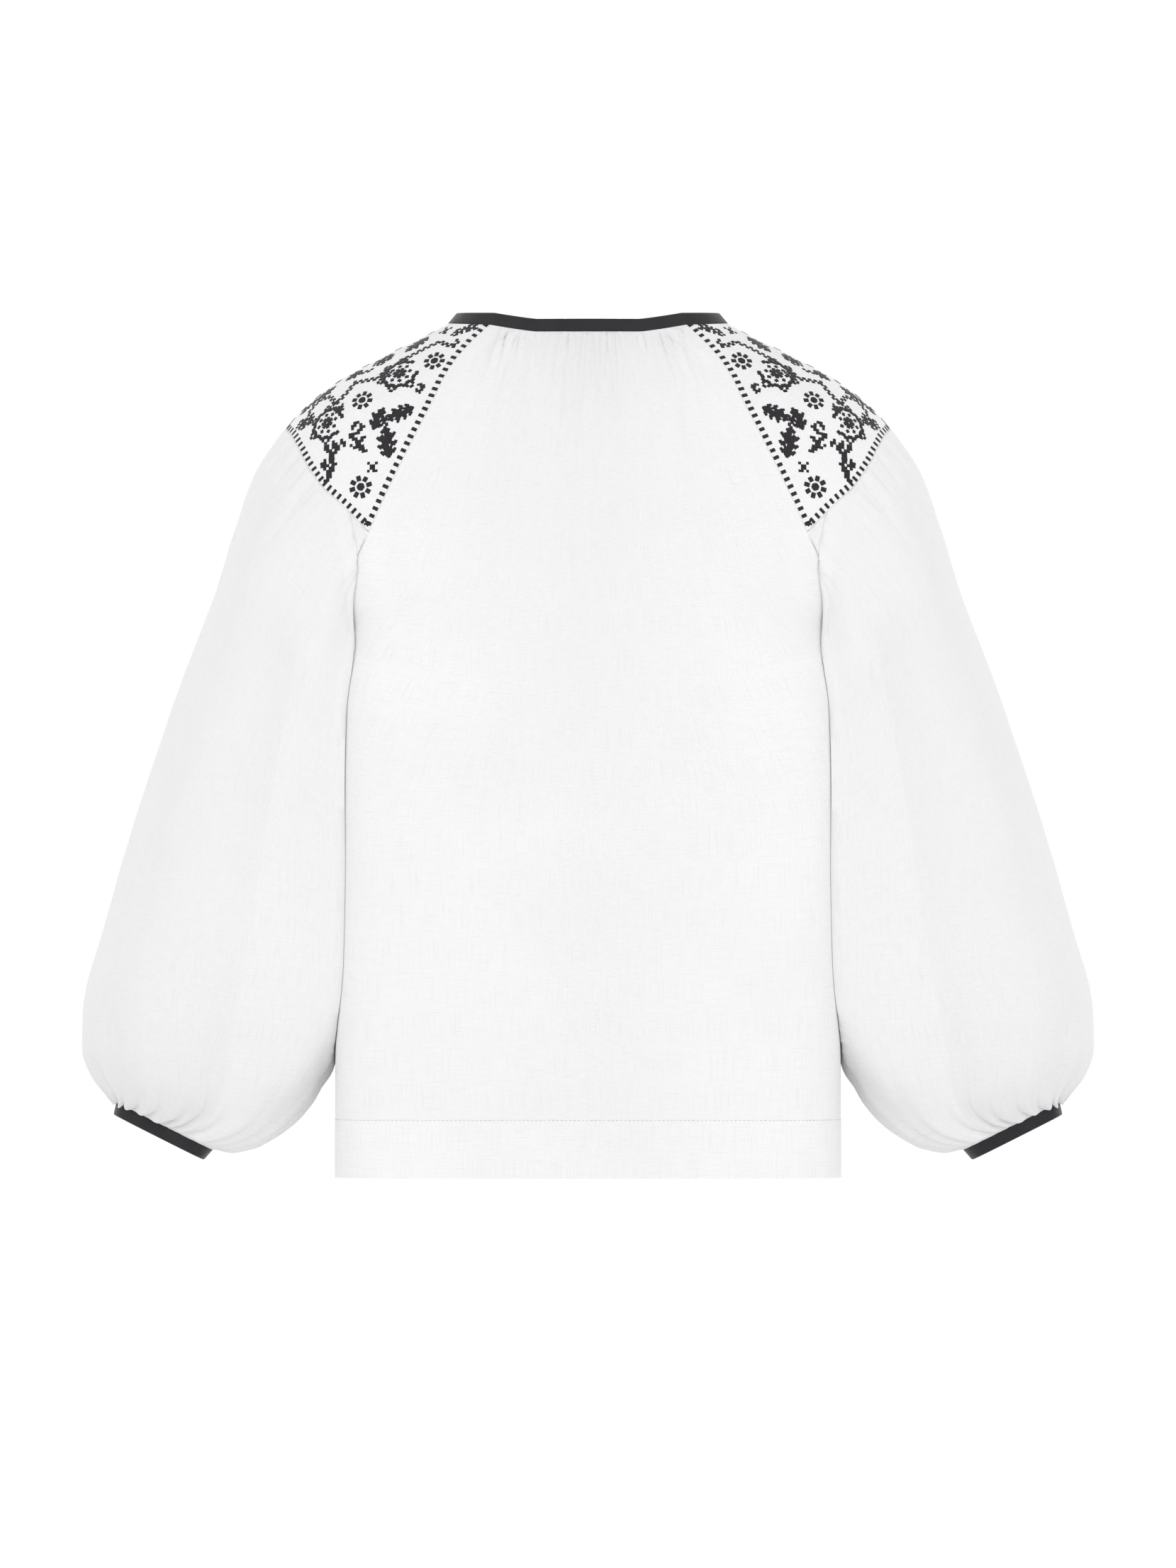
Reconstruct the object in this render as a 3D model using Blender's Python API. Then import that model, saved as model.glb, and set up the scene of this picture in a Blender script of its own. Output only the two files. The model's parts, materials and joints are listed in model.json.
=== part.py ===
"""Embroidered peasant shirt, empty and filled out as it is worn, modelled as the cloth that a maker cuts and sews.

Blender units are metres and +Z is up. The back of the garment faces -Y and its front faces +Y.
The origin lies midway between the shoulders, level with the highest point of the neck edge.
Tables are in millimetres, and a drop is a distance below the origin.
"""

import math

import bmesh
import bpy
import numpy as np

MM = 0.001

# Cloth and trim
CLOTH_WALL = 1.2 * MM
HEM_WALL = 2.2 * MM
TAPE_WALL = 2.0 * MM
TAPE_PROUD = 0.4 * MM
TAPE_WIDTH = 10.0
SEAM_GAP = 0.3 * MM

# Driving drops
BACK_NECK_DROP = 14.6
FRONT_NECK_DROP = 75.0
BACK_SEAM_TOP = 9.0
FRONT_SEAM_TOP = 22.0
SIDE_NECK_DROP = 7.6
YOKE_TIP_DROP = 176.4
UNDERARM_DROP = 255.0
HEM_DEPTH = 45.0
SHIRT_DROP = 695.0

# Level sections of the body. Above the yoke tips they take in the shoulders as well.
BODY_COLUMNS = ("drop", "half_width", "back_depth", "front_depth", "squareness")
BODY_SECTIONS = (
    (-4.0, 95.5, 50.0, 50.0, 2.0),
    (8.0, 112.0, 56.0, 55.0, 2.0),
    (17.0, 128.0, 61.0, 59.0, 2.0),
    (33.0, 160.5, 70.0, 65.0, 2.0),
    (56.0, 202.0, 82.0, 73.0, 2.0),
    (79.0, 230.5, 93.0, 83.0, 2.0),
    (101.0, 249.5, 101.0, 93.0, 2.0),
    (124.0, 265.0, 107.0, 103.0, 2.0),
    (147.0, 275.5, 111.0, 111.0, 2.0),
    (172.0, 283.0, 114.0, 117.0, 2.0),
    (192.0, 252.0, 115.7, 120.0, 2.2),
    (214.0, 222.0, 116.7, 122.0, 2.5),
    (235.0, 204.0, 117.3, 123.3, 2.8),
    (255.0, 196.0, 117.7, 124.2, 3.1),
    (284.0, 197.4, 118.0, 124.8, 3.5),
    (318.0, 199.0, 118.1, 125.0, 3.9),
    (386.0, 202.5, 117.0, 123.0, 4.2),
    (540.0, 203.2, 116.0, 119.0, 4.0),
    (700.0, 203.2, 115.0, 117.0, 3.5),
)

# Half widths of the back and front panels at their seams, from the neck to the underarm
EDGE_COLUMNS = ("drop", "half_width")
BACK_EDGE = (
    (9.0, 78.0),
    (21.0, 91.1),
    (34.0, 103.3),
    (50.5, 114.4),
    (72.7, 125.2),
    (107.0, 142.7),
    (142.0, 160.0),
    (176.4, 175.6),
    (200.0, 186.0),
    (228.0, 192.6),
    (255.0, 196.0),
)
FRONT_EDGE = (
    (22.0, 84.0),
    (40.0, 98.0),
    (60.0, 111.5),
    (90.0, 131.0),
    (120.0, 148.0),
    (150.0, 164.0),
    (176.4, 175.6),
    (200.0, 186.0),
    (228.0, 192.6),
    (255.0, 196.0),
)

# Lower edge of a yoke, by its turn in degrees from the centre back. The front is the same, mirrored.
YOKE_COLUMNS = ("turn", "drop")
YOKE_EDGE = (
    (63.0, 176.4),
    (68.0, 155.5),
    (72.0, 141.0),
    (76.0, 123.5),
    (80.0, 108.0),
    (84.3, 97.5),
    (90.0, 92.5),
)

# Rings of a sleeve, by the distance along its outer side. Outer and inner are seen from the back.
SLEEVE_COLUMNS = ("along", "outer", "outer_drop", "inner", "inner_drop", "half_depth", "forward")
SLEEVE_RINGS = (
    (0.0, 243.0, 92.5, 196.5, 255.0, 88.0, 1.0),
    (35.0, 265.0, 124.0, 196.0, 275.0, 90.0, 0.0),
    (85.0, 282.5, 170.0, 195.0, 305.0, 91.0, -1.0),
    (145.0, 300.5, 228.0, 194.0, 345.0, 92.0, -2.0),
    (240.0, 332.5, 318.0, 193.0, 405.0, 95.0, -1.0),
    (335.0, 362.5, 409.0, 192.0, 465.0, 98.0, 2.0),
    (430.0, 389.0, 500.0, 193.0, 525.0, 99.0, 6.0),
    (490.0, 403.0, 560.0, 197.5, 568.0, 96.0, 10.0),
    (522.0, 404.5, 592.0, 206.5, 597.0, 89.0, 13.0),
    (545.0, 397.5, 613.0, 217.5, 625.0, 79.0, 15.0),
    (570.0, 386.5, 627.5, 238.0, 652.0, 64.0, 17.0),
    (590.0, 382.0, 633.0, 269.0, 669.5, 46.0, 18.0),
    (604.0, 379.5, 635.5, 303.5, 673.8, 30.0, 18.0),
)
SLEEVE_SQUARENESS = 2.8
SEAM_REACH = 120.0
BODY_CLEARANCE = 2.0
CLEARANCE_SOFTNESS = 2.0
CLEARANCE_RUN = 15.0
CUFF_NARROWING = 0.94
CUFF_LEAN = 27.0
BAND_LEAN = 0.45

# The back neck edge runs level up to this share of its half width, then rises. The front one is a bow.
NECK_LEVEL = 0.58
NECK_LIFT_POWER = 1.3
FRONT_NECK_POWER = 2.0

# Shares of a panel's half width, and radians round a sleeve, over which relief dies away towards an edge
GATHER_SETTLE = 0.12
FOLD_SETTLE = 0.15
HEAD_SETTLE = 0.2

# Steps for reading a slope of the body: millimetres down it and radians round it
DROP_STEP = 0.5
TURN_STEP = 0.004

# Soft folds of a panel: place across it (0 centre, 1 edge) at the top and at the hem, half width, start, end and depth
BACK_FOLDS = (
    (-0.66, -0.58, 0.09, 10.0, 430.0, -4.0),
    (-0.42, -0.45, 0.08, 10.0, 760.0, 3.6),
    (-0.17, -0.2, 0.08, 10.0, 400.0, -2.8),
    (0.08, 0.1, 0.09, 10.0, 760.0, 3.4),
    (0.33, 0.36, 0.08, 10.0, 480.0, -3.0),
    (0.58, 0.66, 0.09, 20.0, 760.0, 4.2),
)
FRONT_FOLDS = (
    (-0.66, -0.7, 0.09, 30.0, 760.0, 4.4),
    (-0.42, -0.4, 0.08, 60.0, 520.0, -3.8),
    (-0.17, -0.24, 0.09, 70.0, 760.0, 4.6),
    (0.08, 0.0, 0.08, 70.0, 430.0, -3.4),
    (0.33, 0.3, 0.09, 60.0, 760.0, 4.0),
    (0.62, 0.64, 0.09, 30.0, 560.0, -4.0),
)

# Soft folds of a sleeve: angle round it at the shoulder and at the cuff (0 outer side, 90 back), start, end and depth
SLEEVE_FOLDS = (
    (118.0, 96.0, 13.0, 10.0, 330.0, -6.0),
    (78.0, 62.0, 12.0, 0.0, 470.0, 4.0),
    (40.0, 34.0, 13.0, 0.0, 300.0, -3.6),
    (100.0, 78.0, 14.0, 250.0, 640.0, 4.4),
    (52.0, 40.0, 13.0, 330.0, 640.0, -4.2),
    (4.0, 10.0, 14.0, 120.0, 640.0, 3.0),
    (-38.0, -30.0, 13.0, 0.0, 420.0, -4.2),
    (-70.0, -58.0, 13.0, 60.0, 640.0, 4.4),
    (-112.0, -92.0, 14.0, 10.0, 360.0, -5.4),
    (-150.0, -130.0, 15.0, 300.0, 640.0, 3.6),
    (150.0, 136.0, 15.0, 260.0, 640.0, -3.4),
)

# Gathers: one ridge and one hollow to every two fine columns
NECK_GATHER = 1.3
NECK_GATHER_RUN = 36.0
NECK_RISE = 5.0
HEAD_GATHER = 2.2
HEAD_GATHER_RUN = 44.0
HEAD_RISE = 6.0
CUFF_GATHER = 2.6
FOLD_RISE = 70.0
FOLD_FADE = 60.0
CUFF_GATHER_RUN = 34.0
CUFF_RISE = 10.0
GATHER_UNEVENNESS = (1.0, 0.62, 0.88, 0.5, 0.95, 0.7, 0.82)

# Grid counts. A fine row has twice the columns of a coarse one.
PANEL_COLUMNS = 24
YOKE_SEGMENTS = 16
ARMHOLE_SEGMENTS = 6
SEAM_SHARES = (0.0, 0.03, 0.08, 0.15, 0.25, 0.37, 0.5, 0.63, 0.76, 0.88, 1.0)
FINE_PANEL_ROWS = 6
SPREAD_RUN = 230.0
EDGE_PULL = 6
ARMHOLE_TURNS = (15.0, 30.0, 45.0, 60.0, 75.0, 90.0)
LOWER_DROPS = (266.0, 290.0, 330.0, 380.0, 435.0, 490.0, 545.0, 600.0)
SLEEVE_STATIONS = (
    0.0, 8.0, 22.0, 45.0, 80.0, 125.0, 180.0, 240.0, 300.0, 360.0, 420.0, 470.0, 508.0,
    534.0, 556.0, 574.0, 588.0, 598.0, 604.0,
)  # fmt: skip
FINE_HEAD_ROWS = 4
FINE_CUFF_ROWS = 5
YOKE_TURN = 100.0

LINEN = ("white_linen", (0.93, 0.93, 0.93, 1.0), 0.85)
TAPE = ("black_tape", (0.02, 0.02, 0.024, 1.0), 0.75)


def smooth(share):
    """An ease from 0 to 1."""
    share = np.clip(share, 0.0, 1.0)
    return share * share * (3.0 - 2.0 * share)


def glide(at, stations, values):
    """A smooth curve through the stations that never overshoots them."""
    x, y = np.asarray(stations, float), np.asarray(values, float)
    at = np.clip(np.asarray(at, float), x[0], x[-1])
    run, rise = np.diff(x), np.diff(y)
    slope = rise / run
    tangent = np.concatenate([[slope[0]], np.zeros(len(x) - 2), [slope[-1]]])
    same = slope[:-1] * slope[1:] > 0
    before, after = 2 * run[1:] + run[:-1], run[1:] + 2 * run[:-1]
    safe = np.where(same, slope[:-1], 1.0), np.where(same, slope[1:], 1.0)
    mean = (before + after) / (before / safe[0] + after / safe[1])
    tangent[1:-1] = np.where(same, mean, 0.0)
    k = np.clip(np.searchsorted(x, at, side="right") - 1, 0, len(run) - 1)
    t = (at - x[k]) / run[k]
    return (
        y[k] * (1 + 2 * t) * (1 - t) ** 2
        + tangent[k] * run[k] * t * (1 - t) ** 2
        + y[k + 1] * t * t * (3 - 2 * t)
        + tangent[k + 1] * run[k] * t * t * (t - 1)
    )


def read(columns, rows, wanted, at):
    """One column of a table, read smoothly at any value of its first column."""
    k = columns.index(wanted)
    return glide(at, [row[0] for row in rows], [row[k] for row in rows])


def unit(vectors):
    return vectors / np.linalg.norm(vectors, axis=-1, keepdims=True)


def body_sizes(turn, drop):
    """Half width, depth and squareness of the body's section, the depth being that of the nearer side."""
    half_width = read(BODY_COLUMNS, BODY_SECTIONS, "half_width", drop)
    back = read(BODY_COLUMNS, BODY_SECTIONS, "back_depth", drop)
    front = read(BODY_COLUMNS, BODY_SECTIONS, "front_depth", drop)
    squareness = read(BODY_COLUMNS, BODY_SECTIONS, "squareness", drop)
    return half_width, np.where(np.cos(turn) >= 0, back, front), squareness


def body_surface(turn, drop):
    """A point of the body's outer face in millimetres. The turn is in radians, 0 at the centre back and pi at the front."""
    half_width, depth, squareness = body_sizes(turn, drop)
    across = np.abs(np.sin(turn) / half_width) ** squareness
    along = np.abs(np.cos(turn) / depth) ** squareness
    radius = (across + along) ** (-1.0 / squareness)
    return np.stack([radius * np.sin(turn), -radius * np.cos(turn), -drop + 0 * turn], axis=-1)


def body_normal(turn, drop):
    """The outward normal of the body's outer face."""
    around = body_surface(turn + TURN_STEP, drop) - body_surface(turn - TURN_STEP, drop)
    down = body_surface(turn, drop + DROP_STEP) - body_surface(turn, drop - DROP_STEP)
    normal = unit(np.cross(down, around))
    outward = np.stack([np.sin(turn), -np.cos(turn), 0 * turn], axis=-1)
    return np.where((normal * outward).sum(-1, keepdims=True) < 0, -normal, normal)


def body_half_width_at(y, drop):
    """How far out the body's side is at a depth y."""
    half_width = read(BODY_COLUMNS, BODY_SECTIONS, "half_width", drop)
    back = read(BODY_COLUMNS, BODY_SECTIONS, "back_depth", drop)
    front = read(BODY_COLUMNS, BODY_SECTIONS, "front_depth", drop)
    squareness = read(BODY_COLUMNS, BODY_SECTIONS, "squareness", drop)
    share = np.clip(np.abs(y) / np.where(y < 0, back, front), 0.0, 1.0)
    return half_width * (1.0 - share**squareness) ** (1.0 / squareness)


def edge_turn(front, drop):
    """The turn at which the back or front panel meets its neighbour, at a drop."""
    table = FRONT_EDGE if front else BACK_EDGE
    half_width, depth, squareness = body_sizes(np.full_like(drop, math.pi if front else 0.0), drop)
    x = np.minimum(read(EDGE_COLUMNS, table, "half_width", drop), half_width)
    y = depth * (1.0 - (x / half_width) ** squareness) ** (1.0 / squareness)
    turn = np.arctan2(x, y)
    return math.pi - turn if front else turn


def seam_drops(front):
    """Drops of the points of the seam between a panel and a yoke, from the neck to the yoke's tip."""
    top = FRONT_SEAM_TOP if front else BACK_SEAM_TOP
    return top + (YOKE_TIP_DROP - top) * np.array(SEAM_SHARES)


def armhole_drops():
    return YOKE_TIP_DROP + (UNDERARM_DROP - YOKE_TIP_DROP) * np.sin(np.radians(ARMHOLE_TURNS))


def yoke_edge_drop(turn):
    """Drop of the yoke's lower edge at a turn, the same in front as behind."""
    from_back = np.degrees(np.minimum(turn, math.pi - turn))
    return read(YOKE_COLUMNS, YOKE_EDGE, "drop", from_back)


def even_steps(points, values, count):
    """The values at count + 1 places that are evenly spaced along the line through the points."""
    lengths = np.linalg.norm(np.diff(points, axis=0), axis=1)
    along = np.concatenate([[0.0], np.cumsum(lengths)])
    return np.interp(np.linspace(0.0, along[-1], count + 1), along, values)


def yoke_corners():
    back, front = seam_drops(False), seam_drops(True)
    return edge_turn(False, back), back, edge_turn(True, front), front


def yoke_grid():
    """Turn and drop of each point of the right yoke: rows run from the neck outwards, columns from back to front."""
    back_turn, back_drop, front_turn, front_drop = yoke_corners()
    fine = np.linspace(back_turn[0], front_turn[0], 200)
    neck_drop = glide(fine, (fine[0], math.pi / 2, fine[-1]), (BACK_SEAM_TOP, SIDE_NECK_DROP, FRONT_SEAM_TOP))
    neck_turn = even_steps(body_surface(fine, neck_drop), fine, YOKE_SEGMENTS)
    neck_drop = np.interp(neck_turn, fine, neck_drop)
    fine = np.linspace(back_turn[-1], front_turn[-1], 400)
    low_turn = even_steps(body_surface(fine, yoke_edge_drop(fine)), fine, YOKE_SEGMENTS)
    low_drop = yoke_edge_drop(low_turn)
    s = np.linspace(0.0, 1.0, YOKE_SEGMENTS + 1)[None, :]
    t = np.array(SEAM_SHARES)[:, None]

    def patch(back, front, neck, low):
        sides = (1 - s) * back[:, None] + s * front[:, None]
        ends = (1 - t) * neck[None, :] + t * low[None, :]
        corners = (1 - t) * ((1 - s) * neck[0] + s * neck[-1]) + t * ((1 - s) * low[0] + s * low[-1])
        return sides + ends - corners

    turn = patch(back_turn, front_turn, neck_turn, low_turn)
    drop = patch(back_drop, front_drop, neck_drop, low_drop)
    return turn, drop


def fold_depth(folds, place, drop):
    """How far the soft folds move the cloth out, in millimetres."""
    moved = np.zeros_like(place * drop)
    for top, low, spread, start, end, depth in folds:
        centre = top + (low - top) * drop / SHIRT_DROP
        bell = np.exp(-(((place - centre) / spread) ** 2))
        rise = smooth((drop - start) / FOLD_RISE) * (1.0 - smooth((drop - end + FOLD_RISE) / (2 * FOLD_RISE)))
        moved = moved + depth * bell * rise
    return moved


def sleeve_fold_depth(angles, along):
    """How far the soft folds of a sleeve move its cloth out at one ring, in millimetres."""
    moved = np.zeros_like(angles)
    for top, low, spread, start, end, depth in SLEEVE_FOLDS:
        centre = top + (low - top) * along / SLEEVE_STATIONS[-1]
        bell = np.exp(-(((np.degrees(angles) - centre) / spread) ** 2))
        rise = smooth((along - start) / FOLD_RISE) * (1.0 - smooth((along - end + FOLD_RISE) / (2 * FOLD_RISE)))
        moved = moved + depth * bell * rise
    return moved * (1.0 - smooth((along - SLEEVE_STATIONS[-1] + FOLD_FADE) / FOLD_FADE))


def zigzag(count):
    """Ridges and hollows by turns, of uneven height."""
    height = [GATHER_UNEVENNESS[(k // 2) % len(GATHER_UNEVENNESS)] for k in range(count)]
    return np.array([h if k % 2 else -h for k, h in enumerate(height)])


def halved(row):
    return row[::2]


def panel_line(front, place, edge, centre):
    """Turn and drop of the points at some places across a panel, on the line with these drops at its edge and centre."""
    level = 0.0 if front else NECK_LEVEL
    power = FRONT_NECK_POWER if front else NECK_LIFT_POWER
    lift = np.clip((np.abs(place) - level) / (1.0 - level), 0.0, 1.0) ** power
    tip = edge_turn(False, np.array([YOKE_TIP_DROP]))[0]
    limit = edge_turn(front, np.array([min(edge, UNDERARM_DROP)]))[0]
    limit = math.pi - limit if front else limit
    inner = min(limit, tip + (math.pi / 2 - tip) * smooth((edge - YOKE_TIP_DROP) / SPREAD_RUN))
    turn = place * inner + np.sign(place) * np.abs(place) ** EDGE_PULL * (limit - inner)
    return math.pi - turn if front else turn, centre + (edge - centre) * lift


def panel_rows(front):
    """Outer points and normals of the back or front panel, row by row from the neck to the hem."""
    folds = FRONT_FOLDS if front else BACK_FOLDS
    neck = FRONT_NECK_DROP if front else BACK_NECK_DROP
    edges = seam_drops(front)
    centres = neck + (YOKE_TIP_DROP - neck) * np.array(SEAM_SHARES)
    level = np.concatenate([armhole_drops(), LOWER_DROPS, hem_drops()])
    edges, centres = np.concatenate([edges, level]), np.concatenate([centres, level])
    place = np.linspace(-1.0, 1.0, 2 * PANEL_COLUMNS + 1)
    waves = zigzag(2 * PANEL_COLUMNS + 1) * smooth((1.0 - np.abs(place)) / GATHER_SETTLE)
    points, normals = [], []
    for k, (edge, centre) in enumerate(zip(edges, centres)):
        turn, drop = panel_line(front, place, edge, centre)
        point, normal = body_surface(turn, drop), body_normal(turn, drop)
        below = centre - neck
        gather = NECK_GATHER * smooth(below / NECK_RISE) * math.exp(-below / NECK_GATHER_RUN) * waves
        if k >= FINE_PANEL_ROWS:
            gather = 0.0
        settled = smooth((1.0 - np.abs(place)) / FOLD_SETTLE)
        moved = gather + fold_depth(folds, place, drop) * settled
        point = point + normal * np.reshape(moved, (-1, 1))
        if k >= FINE_PANEL_ROWS:
            point, normal = halved(point), halved(normal)
        normal[0], normal[-1] = seam_lean(normal[0], edge), seam_lean(normal[-1], edge)
        points.append(point * MM)
        normals.append(normal)
    return points, normals


def seam_lean(normal, drop):
    """Turns the normals at the armhole down towards the underarm, where the body's cloth turns into the sleeve's."""
    share = smooth((drop - YOKE_TIP_DROP) / (UNDERARM_DROP - YOKE_TIP_DROP)) if drop <= UNDERARM_DROP else 0.0
    down = np.array([0.0, 0.0, -1.0])
    return unit((1.0 - share) * normal + share * down)


def hem_drops():
    return np.array([SHIRT_DROP - HEM_DEPTH - 1.0, SHIRT_DROP - HEM_DEPTH, SHIRT_DROP - HEM_DEPTH / 2, SHIRT_DROP])


def yoke_rows():
    turn, drop = yoke_grid()
    return list(body_surface(turn, drop) * MM), list(body_normal(turn, drop))


def line_points(points, segments):
    """Points at even shares of the index along a line of points, so that they lie on its straight segments."""
    index = np.arange(len(points))
    at = np.linspace(0, len(points) - 1, segments + 1)
    return np.stack([np.interp(at, index, points[:, k]) for k in range(3)], axis=1)


def armhole_line(front):
    """Points and normals where a panel meets the sleeve, from the yoke's tip to the underarm."""
    drops = np.concatenate([[YOKE_TIP_DROP], armhole_drops()])
    turns = edge_turn(front, drops)
    facing = [seam_lean(normal, drop) for normal, drop in zip(body_normal(turns, drops), drops)]
    return body_surface(turns, drops), np.array(facing)


def sleeve_seam():
    """The closed line that the right sleeve is sewn to, from the underarm up the back, over the shoulder and down the front."""
    turn, drop = yoke_grid()
    over = body_surface(turn[-1], drop[-1]), body_normal(turn[-1], drop[-1])
    back, front = armhole_line(False), armhole_line(True)
    back = [line_points(line[::-1], 2 * ARMHOLE_SEGMENTS)[:-1] for line in back]
    front = [line_points(line, 2 * ARMHOLE_SEGMENTS)[:-1] for line in front]
    over = [line_points(line, 2 * YOKE_SEGMENTS)[:-1] for line in over]
    half = math.radians(YOKE_TURN)
    angles = np.concatenate(
        [
            np.linspace(math.pi, half, 2 * ARMHOLE_SEGMENTS + 1)[:-1],
            np.linspace(half, -half, 2 * YOKE_SEGMENTS + 1)[:-1],
            np.linspace(-half, -math.pi, 2 * ARMHOLE_SEGMENTS + 1)[:-1],
        ]
    )
    points, normals = (np.concatenate([back[k], over[k], front[k]]) for k in (0, 1))
    return points, unit(normals), angles


def sleeve_ring(angles, along):
    """One ring of the right sleeve. The angle is 0 at its outer side, a quarter turn at its back."""
    sizes = {name: read(SLEEVE_COLUMNS, SLEEVE_RINGS, name, along) for name in SLEEVE_COLUMNS[1:]}
    outer = np.array([sizes["outer"], sizes["forward"], -sizes["outer_drop"]])
    inner = np.array([sizes["inner"], sizes["forward"], -sizes["inner_drop"]])
    cos, sin = np.cos(angles), np.sin(angles)
    power = SLEEVE_SQUARENESS
    radius = (np.abs(cos) ** power + np.abs(sin) ** power) ** (-1.0 / power)
    centre, half = (outer + inner) / 2, (outer - inner) / 2
    deep = np.array([0.0, -sizes["half_depth"], 0.0])
    return centre + (radius * cos)[:, None] * half + (radius * sin)[:, None] * deep


def clear_of_body(ring):
    """Pushes a ring of the sleeve out of the body, beside which it hangs."""
    x, y, drop = ring[:, 0], ring[:, 1], -ring[:, 2]
    least = body_half_width_at(y, np.maximum(drop, UNDERARM_DROP))
    least = least + BODY_CLEARANCE * smooth((drop - UNDERARM_DROP) / CLEARANCE_RUN)
    pushed = 0.5 * (x + least + np.sqrt((x - least) ** 2 + CLEARANCE_SOFTNESS**2))
    share = smooth((drop - UNDERARM_DROP) / CLEARANCE_RUN)
    return np.stack([x + share * (pushed - x), y, -drop], axis=1)


def smooth_sleeve(angles, seam, along):
    """A ring of the right sleeve before its gathers."""
    ring = sleeve_ring(angles, along)
    off_seam = seam - sleeve_ring(angles, 0.0)
    ring = ring + off_seam * (1.0 - smooth(along / SEAM_REACH))
    return ring


def sleeve_rows():
    """Outer points and normals of the right sleeve, ring by ring from the shoulder to the cuff."""
    seam, seam_normal, angles = sleeve_seam()
    rings = np.array([smooth_sleeve(angles, seam, along) for along in SLEEVE_STATIONS])
    around = np.roll(rings, -1, axis=1) - np.roll(rings, 1, axis=1)
    down = np.gradient(rings, axis=0)
    normals = unit(np.cross(around, down))
    outward = rings - rings.mean(axis=1, keepdims=True)
    if (normals[3] * outward[3]).sum() < 0:
        normals = -normals
    normals[0] = seam_normal
    waves = zigzag(len(angles))
    head = smooth((math.radians(YOKE_TURN) - np.abs(angles)) / HEAD_SETTLE)
    length = SLEEVE_STATIONS[-1]
    points, facing = [], []
    for k, along in enumerate(SLEEVE_STATIONS):
        gather = HEAD_GATHER * head * smooth(along / HEAD_RISE) * math.exp(-along / HEAD_GATHER_RUN)
        from_cuff = length - along
        gather = gather + CUFF_GATHER * smooth(from_cuff / CUFF_RISE) * math.exp(-from_cuff / CUFF_GATHER_RUN)
        fine = k < FINE_HEAD_ROWS or k >= len(SLEEVE_STATIONS) - FINE_CUFF_ROWS
        moved = sleeve_fold_depth(angles, along) + (gather * waves if fine else 0.0)
        ring = clear_of_body(rings[k] + normals[k] * moved[:, None]) if along > 0 else rings[k]
        points.append((ring if fine else halved(ring)) * MM)
        facing.append(normals[k] if fine else halved(normals[k]))
    return points, facing


def cuff_rows():
    """Outer points and normals of the right cuff, its upper edge first."""
    _, _, angles = sleeve_seam()
    angles = halved(angles)
    top = sleeve_ring(angles, SLEEVE_STATIONS[-1])
    centre = top.mean(axis=0)
    lean = math.radians(CUFF_LEAN)
    axis = np.array([math.sin(lean), 0.0, -math.cos(lean)])
    low = centre + (top - centre) * CUFF_NARROWING + axis * TAPE_WIDTH
    normal = unit(top - centre)
    return [top * MM, low * MM], [normal, normal]


def neck_line():
    """Turn and drop along the whole neck edge, from the right yoke's back corner round by the front."""
    turn, drop = yoke_grid()
    place = np.linspace(1.0, -1.0, PANEL_COLUMNS + 1)
    front_turn, front_drop = panel_line(True, place, FRONT_SEAM_TOP, FRONT_NECK_DROP)
    back_turn, back_drop = panel_line(False, -place, BACK_SEAM_TOP, BACK_NECK_DROP)
    turns = [turn[0][:-1], front_turn[:-1], 2 * math.pi - turn[0][::-1][:-1], back_turn[:-1]]
    drops = [drop[0][:-1], front_drop[:-1], drop[0][::-1][:-1], back_drop[:-1]]
    return np.concatenate(turns), np.concatenate(drops)


def neckband_rows():
    """Outer points and normals of the neckband, its upper edge first."""
    turn, drop = neck_line()
    low = body_surface(turn, drop)
    normal = body_normal(turn, drop)
    around = unit(np.roll(low, -1, axis=0) - np.roll(low, 1, axis=0))
    up = unit(np.cross(normal, around))
    up = np.where(up[:, 2:3] < 0, -up, up)
    upright = np.array([0.0, 0.0, 1.0])
    rise = unit(up + BAND_LEAN * upright)
    facing = unit(np.cross(around, rise))
    outward = np.stack([np.sin(turn), -np.cos(turn), 0 * turn], axis=-1)
    facing = np.where((facing * outward).sum(-1, keepdims=True) < 0, -facing, facing)
    low = low + facing * (TAPE_PROUD / MM)
    high = low + rise * TAPE_WIDTH
    return [high * MM, low * MM], [facing, facing]


def drawn_in(edge, inner, closed):
    """Moves the points of an edge by half the seam gap towards the next line of points, square to the edge."""
    along = np.roll(edge, -1, axis=0) - np.roll(edge, 1, axis=0) if closed else np.gradient(edge, axis=0)
    along = unit(along)
    aside = inner - edge
    aside = aside - (aside * along).sum(-1, keepdims=True) * along
    return edge + unit(aside) * SEAM_GAP / 2


def inset(rows, closed):
    """Draws the free edges of a piece in, along the cloth."""
    rows = [row.copy() for row in rows]
    if not closed:
        for end, neighbour in ((0, 1), (-1, -2)):
            edge, inner = (np.array([row[k] for row in rows]) for k in (end, neighbour))
            for row, point in zip(rows, drawn_in(edge, inner, False)):
                row[end] = point
    for end, neighbour in ((0, 1), (-1, -2)):
        inner = rows[neighbour]
        step = max(1, len(inner) // len(rows[end]))
        rows[end] = drawn_in(rows[end], inner[::step], closed)
    return rows


def strip_faces(upper, lower, closed):
    """Faces between two rows of vertex numbers, where one row may have twice the columns of the other."""
    if closed:
        upper, lower = upper + upper[:1], lower + lower[:1]
    if len(upper) == len(lower):
        return [(upper[k], upper[k + 1], lower[k + 1], lower[k]) for k in range(len(upper) - 1)]
    if len(upper) < len(lower):
        return [face[::-1] for face in strip_faces(lower, upper, False)]
    faces = []
    for k in range(len(lower) - 1):
        left, middle, right = upper[2 * k : 2 * k + 3]
        faces += [(left, middle, lower[k]), (middle, lower[k + 1], lower[k]), (middle, right, lower[k + 1])]
    return faces


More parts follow.
